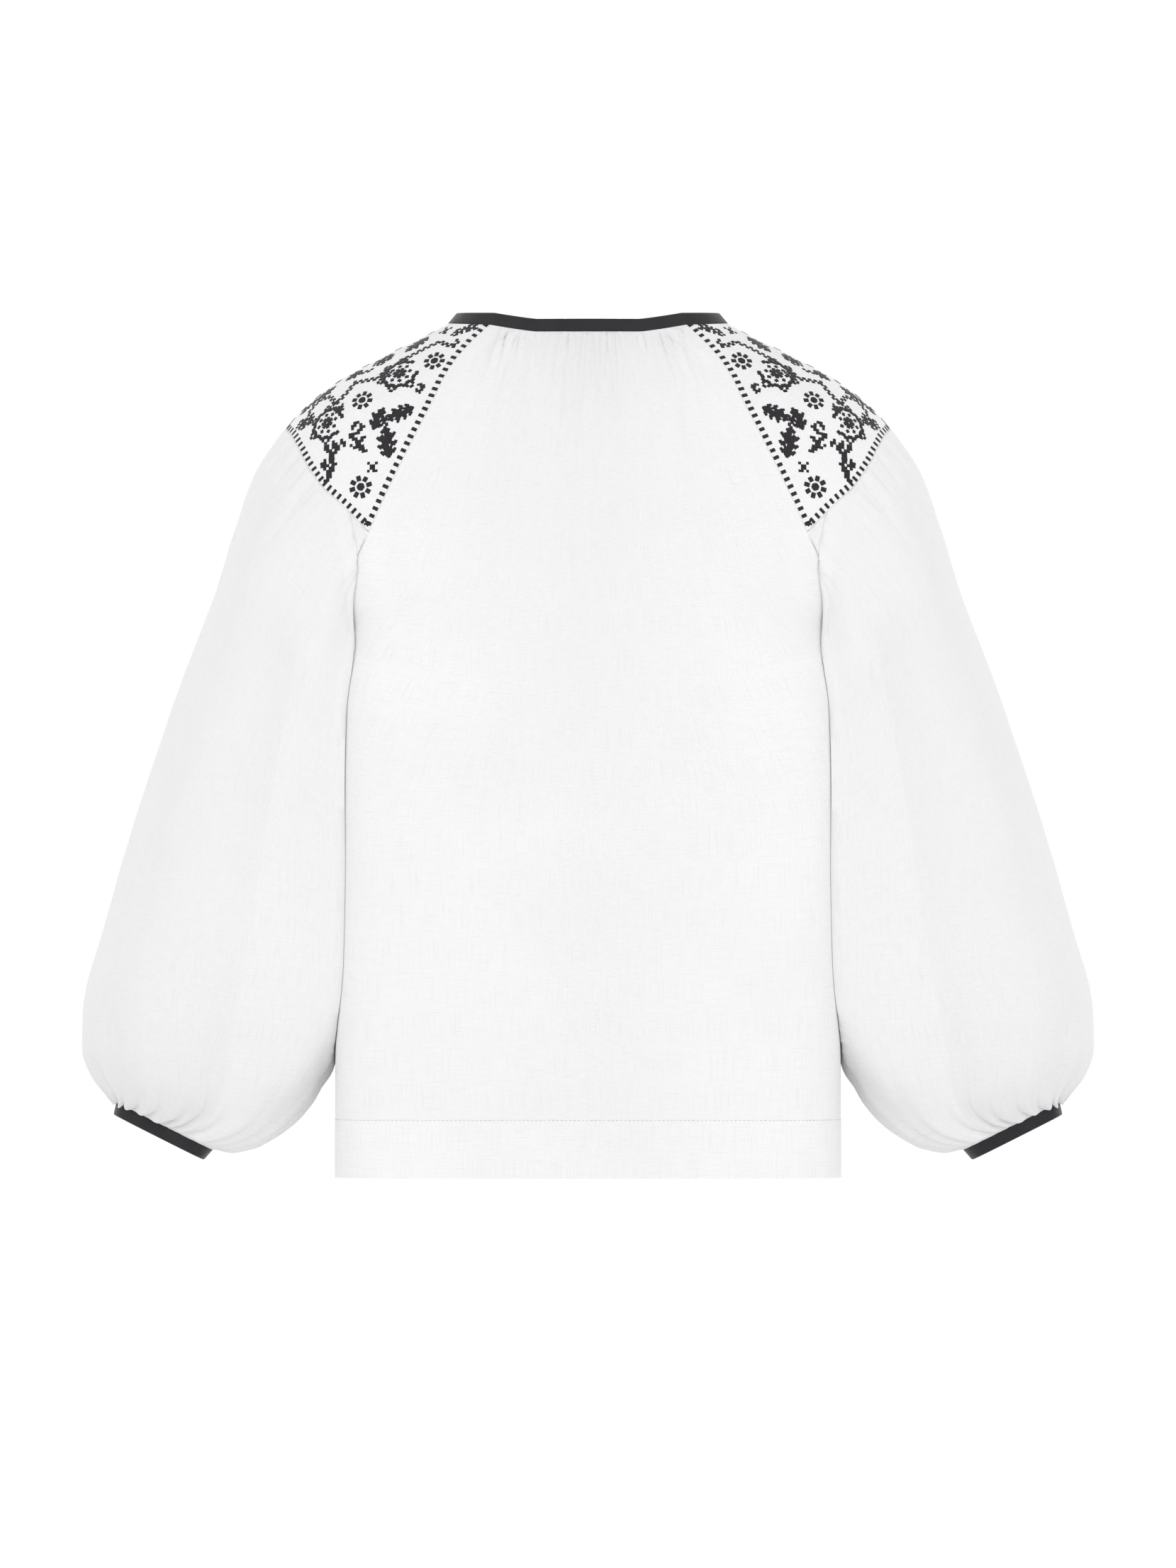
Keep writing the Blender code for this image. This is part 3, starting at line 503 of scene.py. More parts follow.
def yoke_patch(s, t):
    """Turn and drop of points of the right yoke: s runs from its back seam to its front one, t outwards."""
    neck_turn, low_turn = np.interp(s, *NECK_SHARES), np.interp(s, *TIP_SHARES)
    back_drop = BACK_SEAM_TOP + (YOKE_TIP_DROP - BACK_SEAM_TOP) * t
    front_drop = FRONT_SEAM_TOP + (YOKE_TIP_DROP - FRONT_SEAM_TOP) * t

    def blend(back, front, neck, low, ends):
        corners = (1 - t) * ((1 - s) * ends[0] + s * ends[1]) + t * ((1 - s) * ends[2] + s * ends[3])
        return (1 - s) * back + s * front + (1 - t) * neck + t * low - corners

    back_turn, front_turn = edge_turn(False, back_drop), edge_turn(True, front_drop)
    turn = blend(back_turn, front_turn, neck_turn, low_turn, NECK_ENDS + TIP_ENDS)
    drops = BACK_SEAM_TOP, FRONT_SEAM_TOP, YOKE_TIP_DROP, YOKE_TIP_DROP
    drop = blend(back_drop, front_drop, neck_drop(neck_turn), yoke_edge_drop(low_turn), drops)
    return turn, drop


def yoke_point(s, t):
    return body_surface(*yoke_patch(np.asarray(s, float), np.asarray(t, float)))


def sleeve_seam(angles):
    """Points and normals of the line that the right sleeve is sewn to. The angle is 0 on top, positive behind."""
    half = math.radians(YOKE_TURN)
    points, normals = np.zeros((len(angles), 3)), np.zeros((len(angles), 3))
    over = np.abs(angles) <= half
    turn, drop = yoke_patch((half - angles[over]) / (2 * half), np.ones(over.sum()))
    points[over], normals[over] = body_surface(turn, drop), body_normal(turn, drop)
    for front, part in ((False, ~over & (angles > 0)), (True, ~over & (angles < 0))):
        share = (np.abs(angles[part]) - half) / (math.pi - half)
        drop = YOKE_TIP_DROP + (UNDERARM_DROP - YOKE_TIP_DROP) * np.sin(share * math.pi / 2)
        turn = edge_turn(front, drop)
        points[part], normals[part] = body_surface(turn, drop), seam_lean(body_normal(turn, drop), drop)
    return points, normals


def sleeve_ring(angles, along):
    """One ring of the right sleeve, before it is drawn to its seam."""
    sizes = {name: read(SLEEVE_COLUMNS, SLEEVE_RINGS, name, along) for name in SLEEVE_COLUMNS[1:]}
    outer = np.array([sizes["outer"], sizes["forward"], -sizes["outer_drop"]])
    inner = np.array([sizes["inner"], sizes["forward"], -sizes["inner_drop"]])
    cos, sin = np.cos(angles), np.sin(angles)
    beside = smooth((along - NESTLING_START) / NESTLING_RISE)
    beside = beside * (1.0 - smooth((along - NESTLING_END) / NESTLING_FALL))
    power = SLEEVE_SQUARENESS + NESTLING * beside * smooth(-2.0 * cos)
    radius = (np.abs(cos) ** power + np.abs(sin) ** power) ** (-1.0 / power)
    centre, half = (outer + inner) / 2, (outer - inner) / 2
    deep = np.array([0.0, -sizes["half_depth"], 0.0])
    return centre + (radius * cos)[:, None] * half + (radius * sin)[:, None] * deep


def clear_of_body(ring):
    """Draws a ring of the sleeve to the body, beside which it hangs, and pushes it out where it would cross it."""
    x, y, drop = ring[:, 0], ring[:, 1], -ring[:, 2]
    share = smooth((drop - UNDERARM_DROP) / CLEARANCE_RUN)
    least = body_half_width_at(y, np.maximum(drop, UNDERARM_DROP)) + BODY_CLEARANCE * share
    gap = x - least
    x = np.where(gap > 0, least + gap * smooth((gap - CLING) / CLING_RUN), x)
    pushed = 0.5 * (x + least + np.sqrt((x - least) ** 2 + CLEARANCE_SOFTNESS**2))
    return np.stack([x + share * (pushed - x), y, -drop], axis=1)


def folds_at(folds, places, distance, length):
    """How far the large soft folds move the cloth out."""
    moved = np.zeros(np.broadcast(places, distance).shape)
    for top, low, spread, start, end, depth in folds:
        bell = np.exp(-(((places - top - (low - top) * distance / length) / spread) ** 2))
        rise = smooth((distance - start) / FOLD_RISE)
        fall = 1.0 - smooth((distance - end + FOLD_RISE) / (2 * FOLD_RISE))
        moved = moved + depth * bell * rise * fall
    return moved


def crease_relief(creases, across, down, scale=1.0, tuck=False):
    """Uneven troughs and ridges along bent lines, dying away at their ends. A tuck is steep on its outer side."""
    moved = np.zeros(across.shape)
    for x1, y1, x2, y2, x3, y3, half_width, depth in creases:
        share = np.clip((down - y1) / (y3 - y1), 0.0, 1.0)
        middle = (y2 - y1) / (y3 - y1)
        bow = (x2 - x1 - (x3 - x1) * middle) / (middle * (1.0 - middle))
        line = x1 + (x3 - x1) * share + bow * share * (1.0 - share)
        off = (across - line) * scale / (half_width * (1.0 + CREASE_WIDENING * share))
        past = np.where((down - y1) * (y3 - y1) < 0, np.abs(down - y1), 0.0)
        uneven = 0.8 + 0.2 * np.sin(9.0 * share + x1)
        fade = (1.0 - smooth(share)) * np.exp(-((past / CREASE_FADE) ** 2)) * uneven
        if tuck:
            aside = off * np.sign(x3 - x1)
            profile = np.where(aside < 0, np.exp(TUCK_SLOPE * aside), np.exp(-((TUCK_EDGE * aside) ** 2)))
        else:
            profile = np.exp(-(off**2)) - 0.4 * np.exp(-((off - 2.1) ** 2) / 1.6)
        moved = moved + depth * fade * profile
    return moved


def crumple(points, seed, wavelength, upright, amplitude):
    """Low, uneven waves in the cloth, in patches. Upright waves run down the cloth."""
    draw = np.random.default_rng(seed)

    def wave(stretch, shortest, longest):
        direction = unit(draw.normal(size=3) * stretch)
        length = wavelength * draw.uniform(shortest, longest)
        return np.sin(points @ (direction * 2 * math.pi / length) + draw.uniform(0, 6.28))

    waves, patches = 0.0, 0.0
    for _ in range(WAVES):
        waves = waves + wave(np.array([1.0, 1.0, upright]), *WAVE_LENGTHS)
        patches = patches + wave(1.0, *PATCH_LENGTHS)
    return amplitude * waves / 3.0 * smooth(0.5 + patches / 6.0)


def gather_relief(across, below, seed, count, reach, depth, run):
    """Fine uneven gathers that hang from a seam: full ridges with narrow valleys, each with its own length."""
    draw = np.random.default_rng(seed)
    pitch = 2 * reach / count
    moved = np.zeros(across.shape)
    for k in range(count):
        centre = -reach + pitch * (k + 0.5 + draw.uniform(-GATHER_SHIFT, GATHER_SHIFT))
        length = run * draw.uniform(*GATHER_LENGTHS)
        height = depth * draw.uniform(*GATHER_HEIGHTS)
        drift = pitch * draw.uniform(-GATHER_DRIFT, GATHER_DRIFT)
        width = pitch * draw.uniform(*GATHER_WIDTHS)
        off = (across - centre - drift * below / (run * 2)) / (width * (1.0 + 0.5 * below / run))
        ridge = np.clip(1.0 - off**2, 0.0, 1.0) ** GATHER_ROUNDNESS
        moved = moved + height * ridge * np.exp(-((below / length) ** GATHER_FALL))
    return moved - GATHER_SINK * depth * np.exp(-((below / run) ** GATHER_FALL))


def placed(name, data):
    """A new object for a mesh, a lamp or a camera, in the scene."""
    made = bpy.data.objects.new(name, data)
    bpy.context.scene.collection.objects.link(made)
    return made


def grid_mesh(name, outer, inner, uv, closed, hem_and_painted_light=None):
    """A wall of cloth from two grids of points in millimetres: rows run down the piece, columns across it."""
    rows, columns = outer.shape[:2]
    spans = columns if closed else columns - 1
    index = np.arange(rows * columns).reshape(rows, columns)
    wrapped = np.concatenate([index, index[:, :1]], axis=1) if closed else index
    low, high = slice(None, -1), slice(1, None)
    corners = ((low, low), (high, low), (high, high), (low, high))
    front = np.stack([wrapped[c][:, :spans] for c in corners], axis=-1).reshape(-1, 4)
    front_uv = np.stack([uv[c][:, :spans] for c in corners], axis=-2).reshape(-1, 4, 2)
    shift = rows * columns
    faces, maps = [front, front[:, ::-1] + shift], [front_uv, front_uv[:, ::-1]]

    def rim(line, line_uv, turned):
        a, b = line[:-1], line[1:]
        quad = np.stack([a, b, b + shift, a + shift], axis=-1)
        quad_uv = np.stack([line_uv[:-1], line_uv[1:], line_uv[1:], line_uv[:-1]], axis=1)
        faces.append(quad[:, ::-1] if turned else quad)
        maps.append(quad_uv[:, ::-1] if turned else quad_uv)

    rim(wrapped[0][: spans + 1], uv[0][: spans + 1], False)
    rim(wrapped[-1][: spans + 1], uv[-1][: spans + 1], True)
    if not closed:
        rim(index[:, 0], uv[:, 0], True)
        rim(index[:, -1], uv[:, -1], False)
    faces, maps = np.concatenate(faces), np.concatenate(maps)
    points = np.concatenate([outer.reshape(-1, 3), inner.reshape(-1, 3)]) * MM
    if signed_volume(points, faces) < 0:
        faces, maps = faces[:, ::-1], maps[:, ::-1]
    mesh = bpy.data.meshes.new(name)
    mesh.from_pydata(points.tolist(), [], faces.tolist())
    layer = mesh.uv_layers.new(name="UVMap")
    layer.data.foreach_set("uv", np.ascontiguousarray(maps, dtype=np.float32).reshape(-1))
    # How pale the linen is at each point: the doubled hem, and painted light on the panels' single cloth.
    if hem_and_painted_light is not None:
        layer = mesh.attributes.new("doubled_hem_and_painted_light", "FLOAT", "POINT")
        layer.data.foreach_set("value", np.tile(hem_and_painted_light.reshape(-1), 2).astype(np.float32))
    mesh.shade_smooth()
    mesh.set_sharp_from_angle(angle=math.radians(SHARP_ANGLE))
    mesh.validate()
    return placed(name, mesh)


def signed_volume(points, faces):
    """Six times the volume that a closed mesh of four-sided faces takes in, negative if it is inside out."""
    a, b, c, d = (points[faces[:, k]] for k in range(4))
    return float((a * np.cross(b, c)).sum() + (a * np.cross(c, d)).sum())


def grid_normals(points, closed, like):
    """Outward normals of a grid of points, on the side that another grid of directions points to."""
    if closed:
        across = np.roll(points, -1, axis=1) - np.roll(points, 1, axis=1)
    else:
        across = np.gradient(points, axis=1)
    down = np.gradient(points, axis=0)
    normals = unit(np.cross(across, down))
    side = np.sign((normals * like).sum(-1).mean())
    return normals * (side if side else 1.0)


def flat_map(points, closed, width):
    """Places on the flat cloth in metres: the whole width across each row, the length down the middle column."""
    columns = points.shape[1]
    down = lengths_along(points[:, columns // 2]) * MM
    share = np.linspace(-0.5, 0.5, columns + 1 if closed else columns)
    return np.stack(np.broadcast_arrays(share[None, :] * width, down[:, None]), axis=-1)


# Sewing of the panels, yokes and sleeves


def panel_drops(front):
    """Drops of a panel's rows at its edge and at its centre, from the neck to the hem."""
    neck, top = (FRONT_NECK_DROP, FRONT_SEAM_TOP) if front else (BACK_NECK_DROP, BACK_SEAM_TOP)
    shares = np.linspace(0.0, 1.0, NECK_ROWS) ** NECK_CROWDING
    fold, low = SHIRT_DROP - HEM_DEPTH, UNDERARM_DROP + UNDERARM_SAG
    hem = np.linspace(fold + HEM_ROWS_START, SHIRT_DROP - HEM_ROWS_END, HEM_ROWS)
    level = [fold + np.array(FOLD_ROWS), hem, SHIRT_DROP - np.array(EDGE_ROWS)]
    edges = [top + (YOKE_TIP_DROP - top) * shares, armhole_drops(front, ARMHOLE_ROWS)[1:]]
    edges += [np.linspace(UNDERARM_DROP, fold - SIDE_ROWS_END, SIDE_ROWS)[1:], *level]
    centres = [neck + (YOKE_TIP_DROP - neck) * shares, np.linspace(YOKE_TIP_DROP, low, ARMHOLE_ROWS)[1:]]
    centres += [np.linspace(low, fold - SIDE_ROWS_END, SIDE_ROWS)[1:], *level]
    return np.concatenate(edges), np.concatenate(centres)


def panel_relief(front, base, drop, places, below, settled):
    """How far folds, tucks, creases, gathers and waves move a panel's cloth out."""
    folds, creases = (FRONT_FOLDS, FRONT_CREASES) if front else (BACK_FOLDS, BACK_CREASES)
    tucks = FRONT_TUCKS if front else BACK_TUCKS
    seed, reach, fullness = FRONT_SHAPE if front else BACK_SHAPE
    x = base[..., 0]
    moved = fullness * folds_at(folds, places, drop, SHIRT_DROP) * smooth(below / 20.0)
    moved = moved + crease_relief(creases, x, drop) + crease_relief(tucks, x, drop, tuck=True)
    gathers = gather_relief(x / (1.0 + NECK_FAN * below), below, seed=seed, reach=reach, **NECK_GATHERS)
    gathers = gathers * smooth((reach + 10.0 - np.abs(x)) / 20.0 + below / 60.0)
    moved = (moved + gathers) * smooth((below - 0.8) / 3.2)
    for offset, wavelength, upright, height, run in PANEL_CRUMPLES:
        moved = moved + crumple(base, seed + offset, wavelength, upright, height) * smooth(below / run)
    from_fold = drop - SHIRT_DROP + HEM_DEPTH
    pucker = PUCKER * np.sin(x * PUCKER_PITCH) * np.exp(-((from_fold / PUCKER_REACH) ** 2))
    offset, *wave = HEM_WAVE
    wave = crumple(base, seed + offset, *wave) * smooth((drop - HEM_WAVE_TOP) / HEM_WAVE_RUN)
    return (moved + pucker + wave) * settled


def panel_grid(front):
    """Outer points, normals and doubled cloth of the back or front panel, from the neck to the hem."""
    edges, centres = panel_drops(front)
    place = np.linspace(-1.0, 1.0, PANEL_COLUMNS)
    lines = [panel_line(front, place, edge, centre) for edge, centre in zip(edges, centres)]
    turn, drop = (np.array([line[k] for line in lines]) for k in (0, 1))
    base, normal = body_surface(turn, drop), body_normal(turn, drop)
    places = np.broadcast_to(place, turn.shape)
    below = np.broadcast_to((centres - centres[0])[:, None], turn.shape)
    beside = smooth((drop - SIDE_TOP) / SIDE_TOP_RUN)
    from_middle = np.degrees(np.minimum(np.abs(turn), np.abs(math.pi - turn)))
    settled = smooth((1.0 - np.abs(places)) / 0.12)
    settled = settled * (1.0 - beside + beside * smooth((SIDE_TURN - from_middle) / SIDE_TURN_RUN))
    hem = smooth((drop - SHIRT_DROP + HEM_DEPTH + 0.6) / HEM_STEP_RUN)
    moved = panel_relief(front, base, drop, places, below, settled) + HEM_STEP * hem
    points = base + normal * moved[..., None]
    at_edge = (np.abs(places) > 0.999)[..., None]
    return points, np.where(at_edge, seam_lean(normal, drop), normal), hem


def yoke_grid():
    """Outer points and normals of the right yoke, from the neck outwards."""
    s, t = np.meshgrid(np.linspace(0.0, 1.0, YOKE_SPANS), np.linspace(0.0, 1.0, YOKE_ROWS))
    turn, drop = yoke_patch(s, t)
    base, normal = body_surface(turn, drop), body_normal(turn, drop)
    rim = np.minimum(np.minimum(s, 1 - s), np.minimum(t, 1 - t)) / YOKE_RIM
    moved = sum(crumple(base, *waves) for waves in YOKE_CRUMPLES)
    return base + normal * (moved * smooth(rim))[..., None], normal


def sleeve_angles():
    """Angles round the sleeve, closer together under the yoke, where the gathers are."""
    half = math.radians(YOKE_TURN)
    head = np.linspace(half, -half, SLEEVE_HEAD_COLUMNS)
    back = np.linspace(math.pi, half, SLEEVE_SIDE_COLUMNS)[:-1]
    front = np.linspace(-half, -math.pi, SLEEVE_SIDE_COLUMNS)[1:-1]
    return np.concatenate([back, head, front])


def puffs(angles, seed, count):
    """Rounded puffs with sharp valleys round a ring, of uneven width and height."""
    draw = np.random.default_rng(seed)
    edges = np.cumsum(draw.uniform(0.6, 1.4, count))
    edges = np.concatenate([[0.0], edges / edges[-1]]) * 2 * math.pi - math.pi
    heights = draw.uniform(0.5, 1.2, count)
    k = np.clip(np.searchsorted(edges, angles, side="right") - 1, 0, count - 1)
    share = (angles - edges[k]) / (edges[k + 1] - edges[k])
    return heights[k] * np.abs(np.sin(share * math.pi)) ** 0.7


def sleeve_relief(rings, along, around):
    """How far folds, gathers, creases, puffs and waves move a sleeve's cloth out."""
    degrees, from_cuff = np.degrees(around), SLEEVE_LENGTH - along
    moved = folds_at(SLEEVE_FOLDS, degrees, along, SLEEVE_LENGTH)
    moved = SLEEVE_FOLD_FULLNESS * moved * smooth(from_cuff / FOLD_FADE)
    head = smooth((math.radians(YOKE_TURN + 8.0) - np.abs(around)) / 0.25)
    moved = moved + gather_relief(degrees, along, **HEAD_GATHERS) * head * smooth(0.15 + along / 5.0)
    creases = crease_relief(SLEEVE_CREASES, degrees, along, SLEEVE_CREASE_SCALE)
    moved = moved + creases * smooth(from_cuff / 25.0) * smooth(along / 12.0)
    fall = np.exp(-((from_cuff / PUFF_REACH) ** 1.3)) * smooth(from_cuff / 7.0)
    moved = moved + (PUFF_HEIGHT * puffs(around, PUFF_SEED, PUFF_COUNT) - PUFF_DEPTH) * fall
    moved = moved + gather_relief(degrees, from_cuff, **CUFF_GATHERS) * smooth(from_cuff / 10.0)
    for seed, wavelength, upright, height, run, cuff_run in SLEEVE_CRUMPLES:
        waves = crumple(rings, seed, wavelength, upright, height)
        moved = moved + waves * smooth(along / run) * smooth(from_cuff / cuff_run)
    pressed = 1.0 - smooth((along - PRESSED_END) / PRESSED_FALL)
    return moved * (1.0 - pressed + pressed * smooth((PRESSED_ANGLE - np.abs(degrees)) / PRESSED_ANGLE_RUN))


def sleeve_grid():
    """Outer points and normals of the right sleeve, from the shoulder to the cuff."""
    angles = sleeve_angles()
    seam, seam_normal = sleeve_seam(angles)
    stations = np.concatenate([np.linspace(*span) for span in SLEEVE_STATIONS])
    to_seam = (seam - sleeve_ring(angles, 0.0)) * (1 - smooth(stations / SEAM_REACH))[:, None, None]
    rings = np.array([sleeve_ring(angles, station) for station in stations]) + to_seam
    normals = grid_normals(rings, True, rings - rings.mean(axis=1, keepdims=True))
    normals[0] = seam_normal
    along = np.broadcast_to(stations[:, None], rings.shape[:2])
    moved = sleeve_relief(rings, along, np.broadcast_to(angles, along.shape))
    points = rings + normals * moved[..., None]
    return np.array([points[0]] + [clear_of_body(ring) for ring in points[1:]]), normals


# Tape: a folded binding that takes in the edge of the cloth. Share of its width, and share of its thickness there
TAPE_PROFILE = (
    (0.0, 0.3),
    (0.015, 0.62),
    (0.05, 0.88),
    (0.14, 1.0),
    (0.5, 0.94),
    (0.86, 1.0),
    (0.95, 0.9),
    (0.985, 0.62),
    (1.0, 0.3),
)
TAPE_HALF = 1.0
TAPE_MIDDLE = -0.2
TAPE_LAP = 1.2
NECK_JOINS = (-18.5, 25.4)  # where the neckband is joined, and how deep and long the notch there is
NOTCH_DEPTH, NOTCH_RUN = 0.3, 0.8
BAND_POINTS, CUFF_POINTS = 520, 240
YOKE_SIDE_POINTS, PANEL_SIDE_POINTS, BAND_EASING = 60, 120, 30


def tape_grid(free, sewn, facing, notch):
    """Outer and inner points of a closed tape from its free edge to the edge that it is sewn by."""
    outer, inner = [], []
    lap = unit(sewn - free) * TAPE_LAP
    for share, fullness in TAPE_PROFILE:
        line = free + (sewn + lap - free) * share
        half = TAPE_HALF * fullness
        outer.append(line + facing * (TAPE_MIDDLE + half - notch)[:, None])
        inner.append(line + facing * (TAPE_MIDDLE - half))
    return np.array(outer), np.array(inner)


def resampled(line, count, *others):
    """A closed line of points at even lengths, what goes with its points, and its whole length."""
    along = lengths_along(np.concatenate([line, line[:1]]))
    at = np.linspace(0.0, along[-1], count + 1)[:-1]
    read_off = [read_along(at, along, np.concatenate([values, values[:1]])) for values in (line, *others)]
    return (*read_off, along[-1])


def eased(loop, times):
    """A closed row of directions, each drawn towards its neighbours."""
    for _ in range(times):
        loop = (np.roll(loop, 1, axis=0) + 2 * loop + np.roll(loop, -1, axis=0)) / 4
    return loop


def neck_lines():
    """The free and sewn edges of the neckband, the direction that its face looks in, and its length."""
    s = np.linspace(0.0, 1.0, YOKE_SIDE_POINTS)
    side_turn = np.interp(s, *NECK_SHARES)
    side_drop = neck_drop(side_turn)
    place = np.linspace(1.0, -1.0, PANEL_SIDE_POINTS)
    front_turn, front_drop = panel_line(True, place, FRONT_SEAM_TOP, FRONT_NECK_DROP)
    back_turn, back_drop = panel_line(False, -place, BACK_SEAM_TOP, BACK_NECK_DROP)
    turns = side_turn, front_turn, 2 * math.pi - side_turn[::-1], back_turn
    drops = side_drop, front_drop, side_drop[::-1], back_drop
    turns, drops = (np.concatenate([part[:-1] for part in parts]) for parts in (turns, drops))
    low, normal, length = resampled(body_surface(turns, drops), BAND_POINTS, body_normal(turns, drops))
    normal = unit(eased(normal, BAND_EASING))
    around = unit(np.roll(low, -1, axis=0) - np.roll(low, 1, axis=0))
    up = unit(np.cross(normal, around))
    up = np.where(up[:, 2:3] < 0, -up, up)
    rise = unit(up + np.array([0.0, 0.0, BAND_LEAN]))
    facing = unit(np.cross(around, rise))
    outward = low * np.array([1.0, 1.0, 0.0])
    facing = np.where((facing * outward).sum(-1, keepdims=True) < 0, -facing, facing)
    return low + rise * TAPE_WIDTH, low, facing, length


def cuff_lines():
    """The free and sewn edges of the right cuff, the direction that its face looks in, and its length."""
    angles = np.linspace(math.pi, -math.pi, CUFF_POINTS + 1)[:-1]
    top, length = resampled(sleeve_ring(angles, SLEEVE_LENGTH), CUFF_POINTS)
    centre = top.mean(axis=0)
    lean = math.radians(CUFF_LEAN)
    axis = np.array([math.sin(lean), 0.0, -math.cos(lean)])
    low = centre + (top - centre) * CUFF_NARROWING + axis * TAPE_WIDTH
    return low, top, unit(top - centre), length


def drawn_in(edge, inner, closed):
    """An edge moved in by half the gap between two sewn pieces, square to itself."""
    along = np.roll(edge, -1, axis=0) - np.roll(edge, 1, axis=0) if closed else np.gradient(edge, axis=0)
    along = unit(along)
    aside = inner - edge
    aside = aside - (aside * along).sum(-1, keepdims=True) * along
    return edge + unit(aside) * SEAM_INSET


def inset(points, top=True, closed=False):
    """A grid of points with its sides, and where asked its top, drawn in at the seams."""
    points = points.copy()
    if not closed:
        points[:, 0] = drawn_in(points[:, 0], points[:, 1], False)
        points[:, -1] = drawn_in(points[:, -1], points[:, -2], False)
    if top:
        points[0] = drawn_in(points[0], points[1], closed)
    return points


def inner_side(points, normals, wall):
    """The inner points of a wall of cloth, whose thickness is one number or one for each point."""
    return points - normals * np.broadcast_to(wall, points.shape[:2])[..., None]


def mirrored(grid):
    return grid * np.array([-1.0, 1.0, 1.0])


SIDES = (("left", mirrored), ("right", np.copy))


# Embroidery: blocks of satin stitch on charts, laid on the right yoke and turned over for the left one

CELL = 2.6
BLOCK_OVERLAP = 1.1
HOOK_SPRIG = (
    "..##..",
    ".#.##.",
    "##..#.",
    ".##...",
    "..####",
    "....##",
    "##.##.",
    ".###..",
    "..##.#",
    ".####.",
    ".##...",
    "##....",
)
FORKED_STEM = (
    ".#..#.....",
    "##.##.##..",
    "#.###.##..",
    "..##.##...",
    "...###....",
    "....##....",
    "....##.#..",
    "....##.##.",
    "...##.###.",
    "....##.#..",
    "....###...",
    ".....##...",
    ".....##...",
    "......##..",
)
CURL = (
    ".##.",
    "##..",
    "##.#",
    ".###",
    "..#.",
)
BUD = (
    "#..#",
    ".##.",
    ".##.",
    "##.#",
)
SPRAY = (
    "..#..##..",
    "##.###.#.",
    ".######.#",
    "###.####.",
    ".#####.#.",
    "..##.##..",
)
COMB = (
    "#.##.#.##..",
    "##.####.##.",
    ".####.###.#",
    "##.##.#.##.",
)
KNOT = (
    ".#.",
    "###",
    ".#.",
)

# Motif, its place on the yoke (share from the raglan seam to the shoulder line, share from the neck outwards),
# its turn in degrees and its scale
MOTIFS = (
    ("medallion", 0.44, 0.325, 12.0, 1.06),
    ("medallion", 0.615, 0.758, -20.0, 1.0),
    ("rosette", 0.215, 0.205, 0.0, 1.0),
    ("rosette", 0.525, 0.54, 10.0, 0.98),
    ("rosette", 0.165, 0.872, 20.0, 1.04),
    ("leaf", 0.192, 0.494, -35.0, 0.86),
    ("leaf", 0.17, 0.628, -140.0, 1.0),
    ("short_leaf", 0.318, 0.556, 188.0, 0.98),
    ("curl", 0.166, 0.346, 36.0, 0.8),
    ("hook_sprig", 0.365, 0.69, 44.0, 0.92),
    ("bud", 0.163, 0.763, 30.0, 0.84),
    ("forked_stem", 0.418, 0.866, 38.0, 0.96),
    ("spray", 0.79, 0.87, 70.0, 0.82),
    ("comb", 0.29, 0.037, 58.0, 0.84),
    ("bud", 0.6, 0.055, 20.0, 0.9),
    ("leaf", 0.7, 0.178, 10.0, 0.9),
    ("spray", 0.81, 0.335, 88.0, 0.86),
    ("short_leaf", 0.87, 0.485, 4.0, 0.8),
    ("short_leaf", 0.9, 0.64, 176.0, 0.86),
    ("comb", 0.92, 0.765, 84.0, 0.8),
    ("spray", 0.57, 0.372, 20.0, 0.5),
    ("bud", 0.62, 0.655, 60.0, 0.8),
)

# Stepped stems, as places on the yoke
STEMS = (
    ((0.2, 0.085), (0.14, 0.118), (0.26, 0.122), (0.4, 0.115), (0.47, 0.165), (0.54, 0.235), (0.61, 0.3)),
    ((0.62, 0.345), (0.6, 0.41), (0.67, 0.455), (0.755, 0.51), (0.71, 0.56), (0.685, 0.62), (0.68, 0.665)),
    ((0.68, 0.655), (0.8, 0.655), (0.86, 0.7), (0.86, 0.76), (0.83, 0.825)),
    ((0.25, 0.528), (0.27, 0.548), (0.235, 0.575)),
    ((0.76, 0.4), (0.8, 0.43), (0.84, 0.46)),
)
SHOULDER_KNOTS = (0.1, 0.25, 0.41, 0.56, 0.7, 0.82, 0.93)

# Side bars of a leaf from its tip to its base, with the length of cloth left bare beside the rib
LEAF_BARS = ((3.4, 0.0), (6.8, 0.0), (5.0, 2.4), (8.8, 0.0), (6.0, 0.0), (8.6, 2.6), (4.8, 0.0))
SHORT_LEAF_BARS = ((3.2, 0.0), (6.6, 0.0), (5.0, 2.4), (7.8, 0.0), (4.4, 0.0))
BAR_PITCH = 3.5
BAR_SLANT = 33.0
BAR_WIDTH = 3.4
LONG_BAR, LONG_BAR_STEP = 6.5, 2.2
LEAF_TIP, RIB_BLOCK, STEP_BLOCK = (4.0, 3.0), (4.2, 3.0), (2.8, 2.8)

TIE_LENGTH = 5.0
TIE_WIDTH = 3.1
TIE_PITCH = 6.5
TIE_INSET = 3.0
LOW_TIE_LENGTH = 5.2
LOW_TIE_WIDTH = 2.7
LOW_TIE_PITCH = 5.9
STEM_PITCH = 2.7
STEM_STEP = 1.1
STEM_BLOCK = (3.5, 2.9)
STEM_PARTS = 12
WAY_REACH = 0.6  # how far before and after a place a line's direction is taken
TIES_END = 0.972
LOW_TIES_START, LOW_TIES_LINE, LOW_TIES_POINTS = 0.022, 0.998, 14
CORNER_KNOT = ("knot", 0.03, 0.977, 45.0, 0.66)


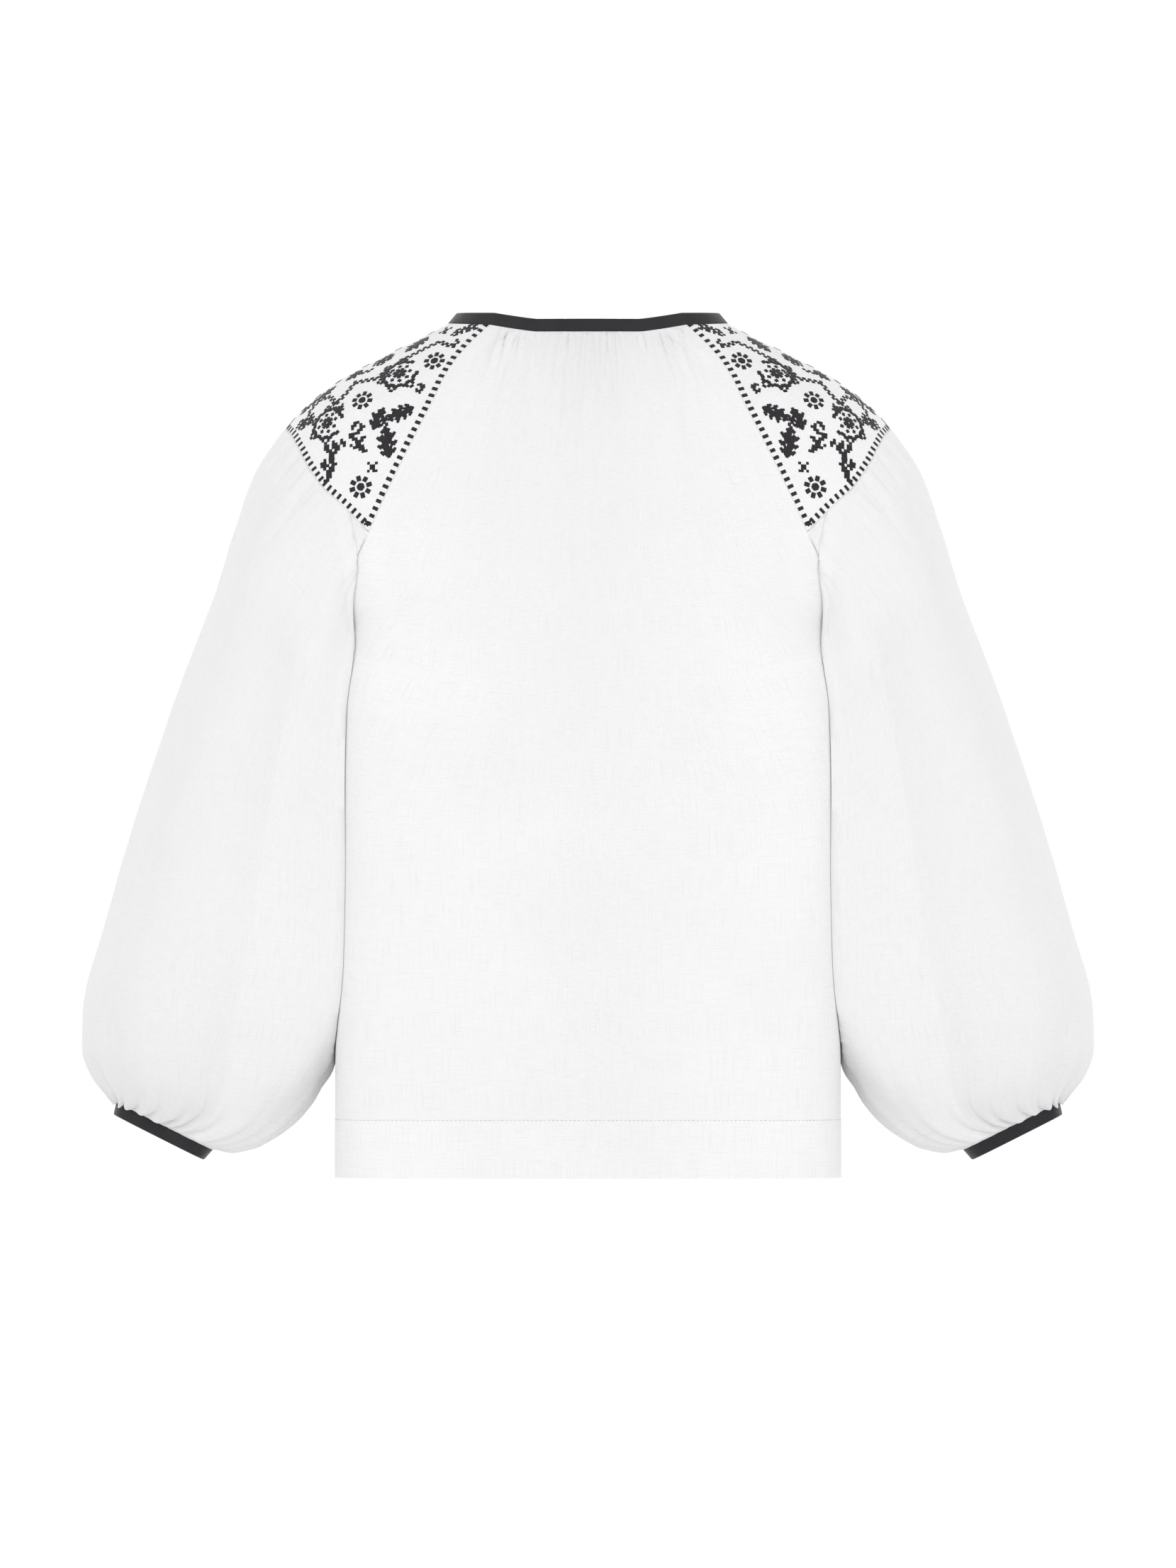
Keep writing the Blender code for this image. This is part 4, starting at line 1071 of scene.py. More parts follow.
def charted(chart, cell=CELL):
    """Blocks of a chart, in millimetres. Each unbroken pair of marked cells in a row is one block."""
    high, wide = len(chart), max(len(row) for row in chart)
    blocks = []
    for j, row in enumerate(chart):
        k = 0
        while k < len(row):
            if row[k] != "#":
                k += 1
                continue
            long = 2 if row[k : k + 2] == "##" and (j + k) % 3 else 1
            u = (k + long / 2 - wide / 2) * cell
            v = (j + 0.5 - high / 2) * cell
            turned = 90.0 if long == 1 and (j + k) % 2 else 0.0
            blocks.append((u, v, turned, long * cell * BLOCK_OVERLAP, cell * BLOCK_OVERLAP))
            k += long
    return blocks


def wheel(radius, count, length, width, start=0.0, turned=0.0, scallop=0.0, left_out=()):
    """Blocks round a circle. Turned 0 points them outwards, 90 lays them along the circle."""
    blocks = []
    for k in range(count):
        if k in left_out:
            continue
        angle = start + 360.0 * k / count
        out = radius + scallop * (k % 2)
        u, v = out * math.cos(math.radians(angle)), out * math.sin(math.radians(angle))
        blocks.append((u, v, angle + turned, length, width))
    return blocks


def rosette():
    """A flower of eight petals round a full heart."""
    return wheel(1.4, 6, 3.6, 2.7) + wheel(6.9, 8, 4.5, 3.8, start=22.5)


def medallion():
    """A star with a hole, a ring of small lozenges, and a broken scalloped ring with open lozenges set on it."""
    star = wheel(3.1, 7, 5.2, 3.5, start=12.0)
    lozenges = wheel(8.2, 8, 3.2, 3.0, start=30.0, turned=45.0)
    rim = wheel(12.8, 24, 4.3, 3.4, turned=90.0, scallop=1.2, left_out=(14, 15, 16))
    blocks = star + lozenges + rim
    for angle in (-70.0, -18.0, 40.0, 96.0, 150.0):
        u, v = 15.4 * math.cos(math.radians(angle)), 15.4 * math.sin(math.radians(angle))
        open_one = wheel(2.5, 4, 3.4, 2.6, start=angle, turned=90.0)
        blocks += [(u + a, v + b, *block) for a, b, *block in open_one]
    return blocks


def feather(bars):
    """A leaf of slanted bars in pairs on a rib, its tip at the top. The longer bars end in a step."""
    cos, sin = math.cos(math.radians(BAR_SLANT)), math.sin(math.radians(BAR_SLANT))
    middle = BAR_PITCH * len(bars) / 2
    blocks = [(0.0, -middle - 0.4, 90.0, *LEAF_TIP)]
    for k, (reach, bare) in enumerate(bars):
        v = BAR_PITCH * (k + 0.5) - middle
        blocks.append((0.0, v + 0.6, 90.0, *RIB_BLOCK))
        for side in (-1.0, 1.0):
            start = bare if side * (k % 4 - 1.5) > 0 else 0.0
            length, out = reach - start, (reach + start) / 2
            blocks.append((side * out * cos, v - out * sin, -side * BAR_SLANT, length, BAR_WIDTH))
            if reach > LONG_BAR:
                step = side * reach * cos, v - reach * sin + LONG_BAR_STEP
                blocks.append((*step, -side * BAR_SLANT, *STEP_BLOCK))
    return blocks


CHARTS = {
    "hook_sprig": HOOK_SPRIG,
    "forked_stem": FORKED_STEM,
    "curl": CURL,
    "bud": BUD,
    "spray": SPRAY,
    "comb": COMB,
    "knot": KNOT,
}
LEAVES = {"leaf": LEAF_BARS, "short_leaf": SHORT_LEAF_BARS}
FLOWERS = {"rosette": rosette, "medallion": medallion}


def motif_blocks(name):
    if name in CHARTS:
        return charted(CHARTS[name])
    return feather(LEAVES[name]) if name in LEAVES else FLOWERS[name]()


def yoke_frame(s, t):
    """A point of the yoke with its directions towards the shoulder line and away from the neck, and its normal."""
    point = yoke_point(s, t)
    step = 0.004
    down = unit(yoke_point(s, t + step) - yoke_point(s, t - step))
    across = yoke_point(s + step, t) - yoke_point(s - step, t)
    across = across * np.sign(0.5 - s) if s != 0.5 else across
    across = unit(across - (across * down).sum() * down)
    return point, across, down, unit(np.cross(across, down))


def along_yoke(points, pitch):
    """Places at an even pitch along a broken line on the yoke, each with the line's direction."""
    fine = []
    for (s1, t1), (s2, t2) in zip(points[:-1], points[1:]):
        shares = [k / STEM_PARTS for k in range(STEM_PARTS)]
        fine += [(s1 + (s2 - s1) * share, t1 + (t2 - t1) * share) for share in shares]
    fine = np.array(fine + [points[-1]])
    spots = yoke_point(fine[:, 0], fine[:, 1])
    along = lengths_along(spots)
    at = np.arange(pitch / 2, along[-1], pitch)
    ahead, behind = read_along(at + WAY_REACH, along, spots), read_along(at - WAY_REACH, along, spots)
    return read_along(at, along, fine), read_along(at, along, spots), unit(ahead - behind)


def embroidery_blocks():
    """Centre, direction, length and width of every block on the right yoke, in millimetres."""
    rows = []

    def lay(name, across, down, turn, scale, front):
        point, e_across, e_down, _ = yoke_frame(1.0 - across / 2 if front else across / 2, down)
        cos, sin = math.cos(math.radians(turn)), math.sin(math.radians(turn))
        for u, v, angle, length, width in motif_blocks(name):
            a, b = (u * cos - v * sin) * scale, (u * sin + v * cos) * scale
            way = math.radians(angle + turn)
            direction = math.cos(way) * e_across + math.sin(way) * e_down
            rows.append((*(point + a * e_across + b * e_down), *direction, length * scale, width * scale))

    def tie(spot, way, towards, inset, length, width):
        """One tie stitch beside a seam, square to it, set in along a direction."""
        side = unit(towards - (towards * way).sum() * way)
        rows.append((*(spot + side * inset), *side, length, width))

    for front in (False, True):
        for motif in MOTIFS:
            lay(*motif, front)
        for stem in STEMS:
            line = [(1.0 - a / 2 if front else a / 2, b) for a, b in stem]
            for k, (place, spot, way) in enumerate(zip(*along_yoke(line, STEM_PITCH))):
                side = unit(np.cross(yoke_frame(*place)[3], way))
                rows.append((*(spot + side * (STEM_STEP if k % 2 else -STEM_STEP)), *way, *STEM_BLOCK))
        edge = 1.0 if front else 0.0
        for place, spot, way in zip(*along_yoke([(edge, 0.0), (edge, TIES_END)], TIE_PITCH)):
            e_across = yoke_frame(abs(edge - 0.004), place[1])[1]
            tie(spot, way, e_across, TIE_INSET, TIE_LENGTH, TIE_WIDTH)
        shares = np.linspace(LOW_TIES_START, 0.5, LOW_TIES_POINTS)
        low = [(abs(edge - share), LOW_TIES_LINE) for share in shares]
        for place, spot, way in zip(*along_yoke(low, LOW_TIE_PITCH)):
            e_down = yoke_frame(place[0] if place[0] != 0.5 else 0.5 - 1e-4, 0.99)[2]
            tie(spot, way, e_down, -TIE_INSET, LOW_TIE_LENGTH, LOW_TIE_WIDTH)
        lay(*CORNER_KNOT, front)
    for down in SHOULDER_KNOTS:
        lay("knot", 0.999, down, 0.0, 0.8, False)
    return np.array(rows)


# Finishes


def fed(tree, target, value):
    """Links a socket to an input, or sets the input to a value."""
    if isinstance(value, bpy.types.NodeSocket):
        tree.links.new(value, target)
    else:
        target.default_value = value


def added(tree, kind, group=None, **inputs):
    """A new node with its inputs fed. An underscore in an input's name stands for a space."""
    node = tree.nodes.new(kind)
    if group:
        node.node_tree = group
    for name, value in inputs.items():
        fed(tree, node.inputs[name.replace("_", " ")], value)
    return node


def new_group(name, kind, inputs, outputs):
    """A node group with named sockets, each with its kind and the inputs' defaults, and its two end nodes."""
    tree = bpy.data.node_groups.new(name, kind)
    for side, sockets in (("INPUT", inputs), ("OUTPUT", outputs)):
        for label, (kind_of_socket, *default) in sockets.items():
            made = tree.interface.new_socket(name=label, in_out=side, socket_type="NodeSocket" + kind_of_socket)
            if default:
                made.default_value = default[0]
    return tree, tree.nodes.new("NodeGroupInput").outputs, tree.nodes.new("NodeGroupOutput").inputs


def math_node(tree, operation, *values):
    """A Math node whose inputs are sockets or numbers."""
    node = tree.nodes.new("ShaderNodeMath")
    node.operation = operation
    for target, value in zip(node.inputs, values):
        fed(tree, target, value)
    return node.outputs[0]


def stretched_noise(tree, vector, scale, detail):
    """Noise drawn out along one of the two directions of a map."""
    drawn = added(tree, "ShaderNodeMapping", Vector=vector, Scale=scale)
    noise = added(tree, "ShaderNodeTexNoise", Vector=drawn.outputs["Vector"], Scale=1.0, Detail=detail)
    return noise.outputs["Fac"]


# Relief of a weave: its threads, their crossings and their thick places, and how these are drawn out both ways
THREAD_HEIGHT, CROSSING_HEIGHT, SLUB_HEIGHT = 0.35, 0.3, 0.9
SLUBS_ACROSS, SLUBS_DOWN, SLUB_DETAIL = (60.0, 1100.0, 1.0), (1100.0, 34.0, 1.0), 3.0


def weave_group():
    """Plain weave: two sets of threads that pass over and under, with thick places in them."""
    name = "plain_weave"
    if name in bpy.data.node_groups:
        return bpy.data.node_groups[name]
    inputs = {"Map": ("Vector",), "Threads per metre": ("Float", 1700.0)}
    tree, given, out = new_group(name, "ShaderNodeTree", inputs, {"Height": ("Float",), "Slub": ("Float",)})
    parts = added(tree, "ShaderNodeSeparateXYZ", Vector=given["Map"])
    waves = []
    for axis in ("X", "Y"):
        phase = math_node(tree, "MULTIPLY", parts.outputs[axis], given["Threads per metre"])
        waves.append(math_node(tree, "SINE", math_node(tree, "MULTIPLY", phase, math.pi)))
    warp, weft = (math_node(tree, "ABSOLUTE", wave) for wave in waves)
    over = math_node(tree, "MULTIPLY", *waves)
    slubs = (stretched_noise(tree, given["Map"], way, SLUB_DETAIL) for way in (SLUBS_ACROSS, SLUBS_DOWN))
    slub = math_node(tree, "MAXIMUM", *slubs)
    height = math_node(tree, "MULTIPLY", math_node(tree, "ADD", warp, weft), THREAD_HEIGHT)
    for more, share in ((over, CROSSING_HEIGHT), (slub, SLUB_HEIGHT)):
        height = math_node(tree, "ADD", height, math_node(tree, "MULTIPLY", more, share))
    fed(tree, out["Height"], height)
    fed(tree, out["Slub"], slub)
    return tree


def cloudy_group():
    """Slow unevenness over a whole piece, for colour and roughness."""
    name = "slow_unevenness"
    if name in bpy.data.node_groups:
        return bpy.data.node_groups[name]
    inputs = {"Scale": ("Float", 14.0), "Low": ("Float", 0.0), "High": ("Float", 1.0)}
    tree, given, out = new_group(name, "ShaderNodeTree", inputs, {"Value": ("Float",)})
    place = tree.nodes.new("ShaderNodeTexCoord").outputs["Object"]
    noise = added(tree, "ShaderNodeTexNoise", Vector=place, Scale=given["Scale"], Detail=4.0)
    spread = added(tree, "ShaderNodeMapRange", Value=noise.outputs["Fac"], From_Min=0.3, From_Max=0.7)
    fed(tree, spread.inputs["To Min"], given["Low"])
    fed(tree, spread.inputs["To Max"], given["High"])
    fed(tree, out["Value"], spread.outputs["Result"])
    return tree


def cloudy(tree, scale, low, high):
    return added(tree, "ShaderNodeGroup", cloudy_group(), Scale=scale, Low=low, High=high).outputs["Value"]


def mixed(tree, factor, first, second):
    """A colour between two, each a colour or a socket."""
    node = tree.nodes.new("ShaderNodeMix")
    node.data_type = "RGBA"
    tree.links.new(factor, node.inputs["Factor"])
    for name, value in (("A", first), ("B", second)):
        fed(tree, next(s for s in node.inputs if s.name == name and s.type == "RGBA"), value)
    return next(s for s in node.outputs if s.type == "RGBA")


def new_finish(name, sheen, sheen_roughness, specular):
    """A new material, with its tree, its shader and the map of the piece that it is on."""
    made = bpy.data.materials.new(name)
    made.use_nodes = True
    tree = made.node_tree
    shader = tree.nodes["Principled BSDF"]
    shader.inputs["Metallic"].default_value = 0.0
    shader.inputs["Specular IOR Level"].default_value = specular
    shader.inputs["Sheen Weight"].default_value = sheen
    shader.inputs["Sheen Roughness"].default_value = sheen_roughness
    own_map = tree.nodes.new("ShaderNodeUVMap")
    own_map.uv_map = "UVMap"
    return made, tree, shader, own_map.outputs["UV"]


def finished(tree, shader, base, rough, height, distance, strength):
    """Feeds the shader its colour, its uneven roughness and its relief."""
    bump = added(tree, "ShaderNodeBump", Height=height, Distance=distance, Strength=strength)
    fed(tree, shader.inputs["Base Color"], base)
    fed(tree, shader.inputs["Roughness"], rough)
    fed(tree, shader.inputs["Normal"], bump.outputs["Normal"])


def toned(colour, factor):
    """A colour made darker or paler, by one factor or by one for each channel."""
    return (*(np.array(colour) * factor).tolist(), 1.0)


def linen_finish(sizes):
    """White linen: doubled cloth is paler, the panels' single cloth is painted a little paler as painted light,
    leaving the sleeves and yokes darker as painted shade, and thick threads are a little darker.
    """
    if "white_linen" in bpy.data.materials:
        return bpy.data.materials["white_linen"]
    made, tree, shader, own_map = new_finish("white_linen", sheen=0.12, sheen_roughness=0.5, specular=0.2)
    threads = {"Map": own_map, "Threads_per_metre": 1.0 / sizes.thread_pitch}
    weave = added(tree, "ShaderNodeGroup", weave_group(), **threads).outputs
    # Paler where the hem is doubled, and partly paler on the panels' single cloth as painted light; the sleeves and
    # yokes keep the darker colour as painted shade.
    hem_and_painted_light = tree.nodes.new("ShaderNodeAttribute")
    hem_and_painted_light.attribute_name = "doubled_hem_and_painted_light"
    base = mixed(tree, hem_and_painted_light.outputs["Fac"], toned(sizes.colour, 1.0), toned(sizes.colour, 1.045))
    slow = cloudy(tree, scale=9.0, low=0.0, high=0.6)
    base = mixed(tree, slow, base, toned(sizes.colour, (0.975, 0.975, 0.972)))
    thick = math_node(tree, "MULTIPLY", math_node(tree, "SUBTRACT", weave["Slub"], 0.5), 2.6)
    base = mixed(tree, math_node(tree, "MAXIMUM", thick, 0.0), base, toned(sizes.colour, 0.905))
    rough = cloudy(tree, scale=30.0, low=0.8, high=0.92)
    finished(tree, shader, base, rough, weave["Height"], distance=0.00022, strength=0.7)
    return made


def tape_finish(sizes):
    """Black woven tape."""
    if "black_tape" in bpy.data.materials:
        return bpy.data.materials["black_tape"]
    made, tree, shader, own_map = new_finish("black_tape", sheen=0.25, sheen_roughness=0.4, specular=0.3)
    threads = {"Map": own_map, "Threads_per_metre": 1.0 / sizes.rib_pitch}
    weave = added(tree, "ShaderNodeGroup", weave_group(), **threads).outputs
    slow = cloudy(tree, scale=40.0, low=0.0, high=1.0)
    base = mixed(tree, slow, toned(sizes.colour, 0.9), toned(sizes.colour, 1.3))
    base = mixed(tree, weave["Slub"], base, toned(sizes.colour, 1.7))
    rough = cloudy(tree, scale=60.0, low=0.55, high=0.72)
    finished(tree, shader, base, rough, weave["Height"], distance=0.00025, strength=0.6)
    return made


def thread_finish(name, colour, strands, sheen):
    """Thread laid in strands along a stitch, read from the stitch's own map, with painted shade in the grooves
    between the strands.
    """
    if name in bpy.data.materials:
        return bpy.data.materials[name]
    made, tree, shader, own_map = new_finish(name, sheen=sheen, sheen_roughness=0.3, specular=0.35)
    parts = added(tree, "ShaderNodeSeparateXYZ", Vector=own_map)
    phase = math_node(tree, "MULTIPLY", parts.outputs["Y"], math.pi * strands)
    strand_height_and_groove_shade = math_node(tree, "ABSOLUTE", math_node(tree, "SINE", phase))
    slow = cloudy(tree, scale=120.0, low=0.0, high=1.0)
    base = mixed(tree, slow, toned(colour, 0.8), toned(colour, 1.35))
    # Painted shade: the grooves between the strands are darkened to 0.6 of the thread's colour.
    base = mixed(tree, strand_height_and_groove_shade, toned(colour, 0.6), base)
    rough = cloudy(tree, scale=200.0, low=0.42, high=0.6)
    finished(tree, shader, base, rough, strand_height_and_groove_shade, distance=0.00012, strength=0.7)
    return made


# Stitches, laid by Geometry Nodes


def stitch_form(name, corner):
    """A low pad one unit long and wide, domed by one unit, with its corners cut by a share."""
    quarter = ((0.5, 0.5 - corner), (0.5 - corner * 0.6, 0.5))
    outline = []
    for a, b in ((1, 1), (-1, 1), (-1, -1), (1, -1)):
        outline += [(x * a, y * b) for x, y in (quarter if a * b > 0 else quarter[::-1])]
    points = []
    for wide, deep, height in ((1.0, 1.0, -0.5), (0.96, 0.94, 0.35), (0.6, 0.55, 0.95)):
        points += [(x * wide, y * deep, height) for x, y in outline]
    points += [(0.0, 0.0, 1.0), (0.0, 0.0, -0.5)]
    faces = []
    for k in range(8):
        n = (k + 1) % 8
        faces += [(k, n, 8 + n, 8 + k), (8 + k, 8 + n, 16 + n, 16 + k), (16 + k, 16 + n, 24), (n, k, 25)]
    mesh = bpy.data.meshes.new(name)
    mesh.from_pydata(points, [], faces)
    layer = mesh.uv_layers.new(name="UVMap")
    for loop in mesh.loops:
        x, y, _ = points[loop.vertex_index]
        layer.data[loop.index].uv = (x + 0.5, y + 0.5)
    mesh.shade_smooth()
    return placed(name, mesh)


def stitch_tree():
    """A tree that sets one stitch on every point, turned and sized by the point's own attributes."""
    name = "laid_stitches"
    if name in bpy.data.node_groups:
        return bpy.data.node_groups[name]
    inputs = {
        "Geometry": ("Geometry",),
        "Stitch": ("Object",),
        "Finish": ("Material",),
        "Padding": ("Float", 0.0004),
        "Unevenness": ("Float", 0.06),
        "Seed": ("Int", 7),
    }
    tree, given, out = new_group(name, "GeometryNodeTree", inputs, {"Geometry": ("Geometry",)})
    stitch = added(tree, "GeometryNodeObjectInfo", Object=given["Stitch"])
    turn = added(tree, "GeometryNodeInputNamedAttribute", Name="turn")
    turn.data_type = "QUATERNION"
    size = added(tree, "GeometryNodeInputNamedAttribute", Name="size")
    size.data_type = "FLOAT_VECTOR"
    parts = added(tree, "ShaderNodeSeparateXYZ", Vector=size.outputs[0])
    spread = added(tree, "FunctionNodeRandomValue", Seed=given["Seed"])
    spread.data_type = "FLOAT"
    for label, operation in (("Min", "SUBTRACT"), ("Max", "ADD")):
        limit = math_node(tree, operation, 1.0, given["Unevenness"])
        tree.links.new(limit, next(s for s in spread.inputs if s.name == label and s.type == "VALUE"))
    uneven = next(s for s in spread.outputs if s.type == "VALUE" and s.enabled)
    length = math_node(tree, "MULTIPLY", parts.outputs["X"], uneven)
    whole = added(tree, "ShaderNodeCombineXYZ", X=length, Y=parts.outputs["Y"], Z=given["Padding"])
    laid = added(
        tree,
        "GeometryNodeInstanceOnPoints",
        Points=given["Geometry"],
        Instance=stitch.outputs["Geometry"],
        Rotation=turn.outputs[0],
        Scale=whole.outputs[0],
    )
    realized = added(tree, "GeometryNodeRealizeInstances", Geometry=laid.outputs["Instances"])
    finish = added(tree, "GeometryNodeSetMaterial", Geometry=realized.outputs["Geometry"], Material=given["Finish"])
    fed(tree, out["Geometry"], finish.outputs["Geometry"])
    return tree


def laid_stitches(name, spots, ways, normals, sizes, form, finish, padding, unevenness, seed):
    """One mesh of stitches at these places in metres, each turned along its way and resting on its normal."""
    ways = unit(ways - (ways * normals).sum(-1, keepdims=True) * normals)
    frames = np.stack([ways, np.cross(normals, ways), normals], axis=-1)
    turns = [Matrix(frame.tolist()).to_quaternion() for frame in frames]
    mesh = bpy.data.meshes.new(name + "_points")
    mesh.from_pydata(spots.tolist(), [], [])
    layer = mesh.attributes.new("turn", "QUATERNION", "POINT")
    layer.data.foreach_set("value", np.array([tuple(q) for q in turns], dtype=np.float32).reshape(-1))
    layer = mesh.attributes.new("size", "FLOAT_VECTOR", "POINT")
    sizes = np.concatenate([sizes, np.zeros((len(sizes), 1))], axis=1)
    layer.data.foreach_set("vector", sizes.astype(np.float32).reshape(-1))
    points = placed(name + "_points", mesh)
    modifier = points.modifiers.new("laid", "NODES")
    modifier.node_group = stitch_tree()
    values = {"Stitch": form, "Finish": finish, "Padding": padding, "Unevenness": unevenness, "Seed": seed}
    for item in modifier.node_group.interface.items_tree:
        if item.in_out == "INPUT" and item.name in values:
            modifier[item.identifier] = values[item.name]
    bpy.context.view_layer.update()
    evaluated = points.evaluated_get(bpy.context.evaluated_depsgraph_get())
    whole = bpy.data.meshes.new_from_object(evaluated)
    whole.name = name
    for left in ("turn", "size"):
        if left in whole.attributes:
            whole.attributes.remove(whole.attributes[left])
    points.modifiers.clear()
    bpy.data.objects.remove(points)
    if not len(whole.polygons):
        raise RuntimeError(f"{name} has no stitches")
    return placed(name, whole)


def surface_of(piece):
    """The piece's surface, for setting stitches on it."""
    mesh = piece.data
    return BVHTree.FromPolygons([v.co for v in mesh.vertices], [tuple(p.vertices) for p in mesh.polygons])


PROBE_START, PROBE_REACH = 0.006, 0.02  # metres, for finding the cloth under a stitch
FROM_INSIDE = (80.0, 0.0, -120.0)  # millimetres, a place under the right yoke
HEM_STITCH_RISE, HEM_STITCH_MARGIN = 1.6, 0.01
HEM_STITCH_SHARE, HEM_STITCH_WIDTH, HEM_STITCH_HEIGHT = 0.62, 0.00055, 0.0003


def set_down(tree, spots, outward):
    """The nearest places on the outer side of a surface, with its normals there. Both are in metres."""
    found, normals = [], []
    for spot, out in zip(spots, outward):
        start = Vector(spot) + Vector(out) * PROBE_START
        place, normal, _, _ = tree.ray_cast(start, -Vector(out), PROBE_REACH)
        if place is None:
            place, normal, _, _ = tree.find_nearest(Vector(spot))
        if normal.dot(Vector(out)) < 0:
            normal = -normal
        found.append(tuple(place))
        normals.append(tuple(normal))
    return np.array(found), np.array(normals)


# What a user may change


class ShirtLinen(bpy.types.PropertyGroup):
    """The linen that the shirt is cut from"""

    colour: bpy.props.FloatVectorProperty(
        name="Linen colour",
        description="Colour of the cloth",
        subtype="COLOR",
        size=3,
        min=0.0,
        max=1.0,
        default=(0.876, 0.876, 0.881),
    )
    wall: bpy.props.FloatProperty(
        name="Cloth thickness", description="Thickness of one layer", unit="LENGTH", default=0.0007, precision=5
    )
    thread_pitch: bpy.props.FloatProperty(
        name="Thread pitch", description="From thread to thread", unit="LENGTH", default=0.0006, precision=5
    )


class ShirtTape(bpy.types.PropertyGroup):
    """The woven tape at the neck and the cuffs"""

    colour: bpy.props.FloatVectorProperty(
        name="Tape colour",
        description="Colour of the tape",
        subtype="COLOR",
        size=3,
        min=0.0,
        max=1.0,
        default=(0.012, 0.011, 0.014),
    )
    rib_pitch: bpy.props.FloatProperty(
        name="Rib pitch", description="From rib to rib", unit="LENGTH", default=0.0007, precision=5
    )


class ShirtThread(bpy.types.PropertyGroup):
    """Embroidery and sewing thread"""

    colour: bpy.props.FloatVectorProperty(
        name="Embroidery colour",
        description="Colour of the embroidery thread",
        subtype="COLOR",
        size=3,
        min=0.0,
        max=1.0,
        default=(0.014, 0.010, 0.016),
    )
    padding: bpy.props.FloatProperty(
        name="Stitch height", description="Height of the embroidery", unit="LENGTH", default=0.00045, precision=5
    )
    # Painted shade: the sewing thread is white like the cloth, and this grey stands in for the faint shadow line
    # along the hem stitches.
    shaded_sewing_colour: bpy.props.FloatVectorProperty(
        name="Sewing colour",
        description="Colour of the sewing thread",
        subtype="COLOR",
        size=3,
        min=0.0,
        max=1.0,
        default=(0.74, 0.74, 0.75),
    )
    hem_pitch: bpy.props.FloatProperty(
        name="Hem stitch pitch", description="From stitch to stitch", unit="LENGTH", default=0.0034, precision=5
    )


class ShirtStage(bpy.types.PropertyGroup):
    """The floor, the light and the camera"""

    floor_colour: bpy.props.FloatVectorProperty(
        name="Floor colour",
        description="Colour of the floor",
        subtype="COLOR",
        size=3,
        min=0.0,
        max=1.0,
        default=(0.86, 0.86, 0.86),
    )
    light: bpy.props.FloatProperty(
        name="Light", description="Brightness of the soft lights", default=1.0, min=0.0, subtype="FACTOR"
    )


def hand_over(made, node, finish):
    """Gives a cloth piece its finish and its slot, and puts it in the place of its solid."""
    made.data.materials.append(finish)
    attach(made, "root")
    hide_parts(node)


class SHIRT_OT_panels(bpy.types.Operator):
    """Make the back and the front of the body"""

    bl_idname = "shirt.panels"
    bl_label = "Back and front"

    def execute(self, context):
        linen = context.scene.shirt_linen
        for node, front, flat, area in (
            ("back_panel", False, (0.54, 0.72), 0.37),
            ("front_panel", True, (0.54, 0.68), 0.355),
        ):
            points, normals, hem = panel_grid(front)
            outer = inset(points, top=False)
            inner = inner_side(outer, normals, linen.wall / MM * (1.0 + HEM_THICKENING * hem))
            uv = flat_map(points, False, flat[0])
            # The doubled hem is paler; the rest of the panel gets painted light that the sleeves and yokes do not.
            made = grid_mesh("linen_" + node, outer, inner, uv, False, PANEL_PAINTED_LIGHT + (1.0 - PANEL_PAINTED_LIGHT) * hem)
            hand_over(made, node, linen_finish(linen))
        return {"FINISHED"}


class SHIRT_OT_yokes(bpy.types.Operator):
    """Make the two shoulder yokes"""

    bl_idname = "shirt.yokes"
    bl_label = "Yokes"

    def execute(self, context):
        linen = context.scene.shirt_linen
        points, normals = yoke_grid()
        outer = inset(points, top=False)
        outer[-1] = drawn_in(outer[-1], outer[-2], False)
        outer[0] = points[0]
        inner = inner_side(outer, normals, linen.wall / MM)
        uv = flat_map(points, False, YOKE_MAP_WIDTH)
        for side, turned in SIDES:
            made = grid_mesh(f"linen_yoke_{side}", turned(outer), turned(inner), uv, False)
            hand_over(made, f"yoke_{side}", linen_finish(linen))
        return {"FINISHED"}


class SHIRT_OT_sleeves(bpy.types.Operator):
    """Make the two gathered sleeves"""

    bl_idname = "shirt.sleeves"
    bl_label = "Sleeves"

    def execute(self, context):
        linen = context.scene.shirt_linen
        points, normals = sleeve_grid()
        outer = inset(points, closed=True)
        inner = inner_side(outer, normals, linen.wall / MM)
        flat = (0.6, 0.58)
        uv = flat_map(points, True, flat[0])
        for side, turned in SIDES:
            made = grid_mesh(f"linen_sleeve_{side}", turned(outer), turned(inner), uv, True)
            hand_over(made, f"sleeve_{side}", linen_finish(linen))
        return {"FINISHED"}


class SHIRT_OT_tapes(bpy.types.Operator):
    """Make the tape bindings of the neck and the cuffs"""

    bl_idname = "shirt.tapes"
    bl_label = "Neckband and cuffs"

    def execute(self, context):
        finish = tape_finish(context.scene.shirt_tape)
        free, sewn, facing, length = neck_lines()
        at_back = sewn[:, 1] < 0
        notch = sum(NOTCH_DEPTH * np.exp(-(((sewn[:, 0] - x) / NOTCH_RUN) ** 2)) * at_back for x in NECK_JOINS)
        bands = [("neckband", free, sewn, facing, length, notch)]
        free, sewn, facing, length = cuff_lines()
        for side, turned in SIDES:
            bands.append((f"cuff_{side}", turned(free), turned(sewn), turned(facing), length, np.zeros(len(free))))
        for node, free, sewn, facing, length, notch in bands:
            outer, inner = tape_grid(free, sewn, facing, notch)
            made = grid_mesh("tape_" + node, outer, inner, flat_map(outer, True, length * MM), True)
            hand_over(made, node, finish)
        return {"FINISHED"}


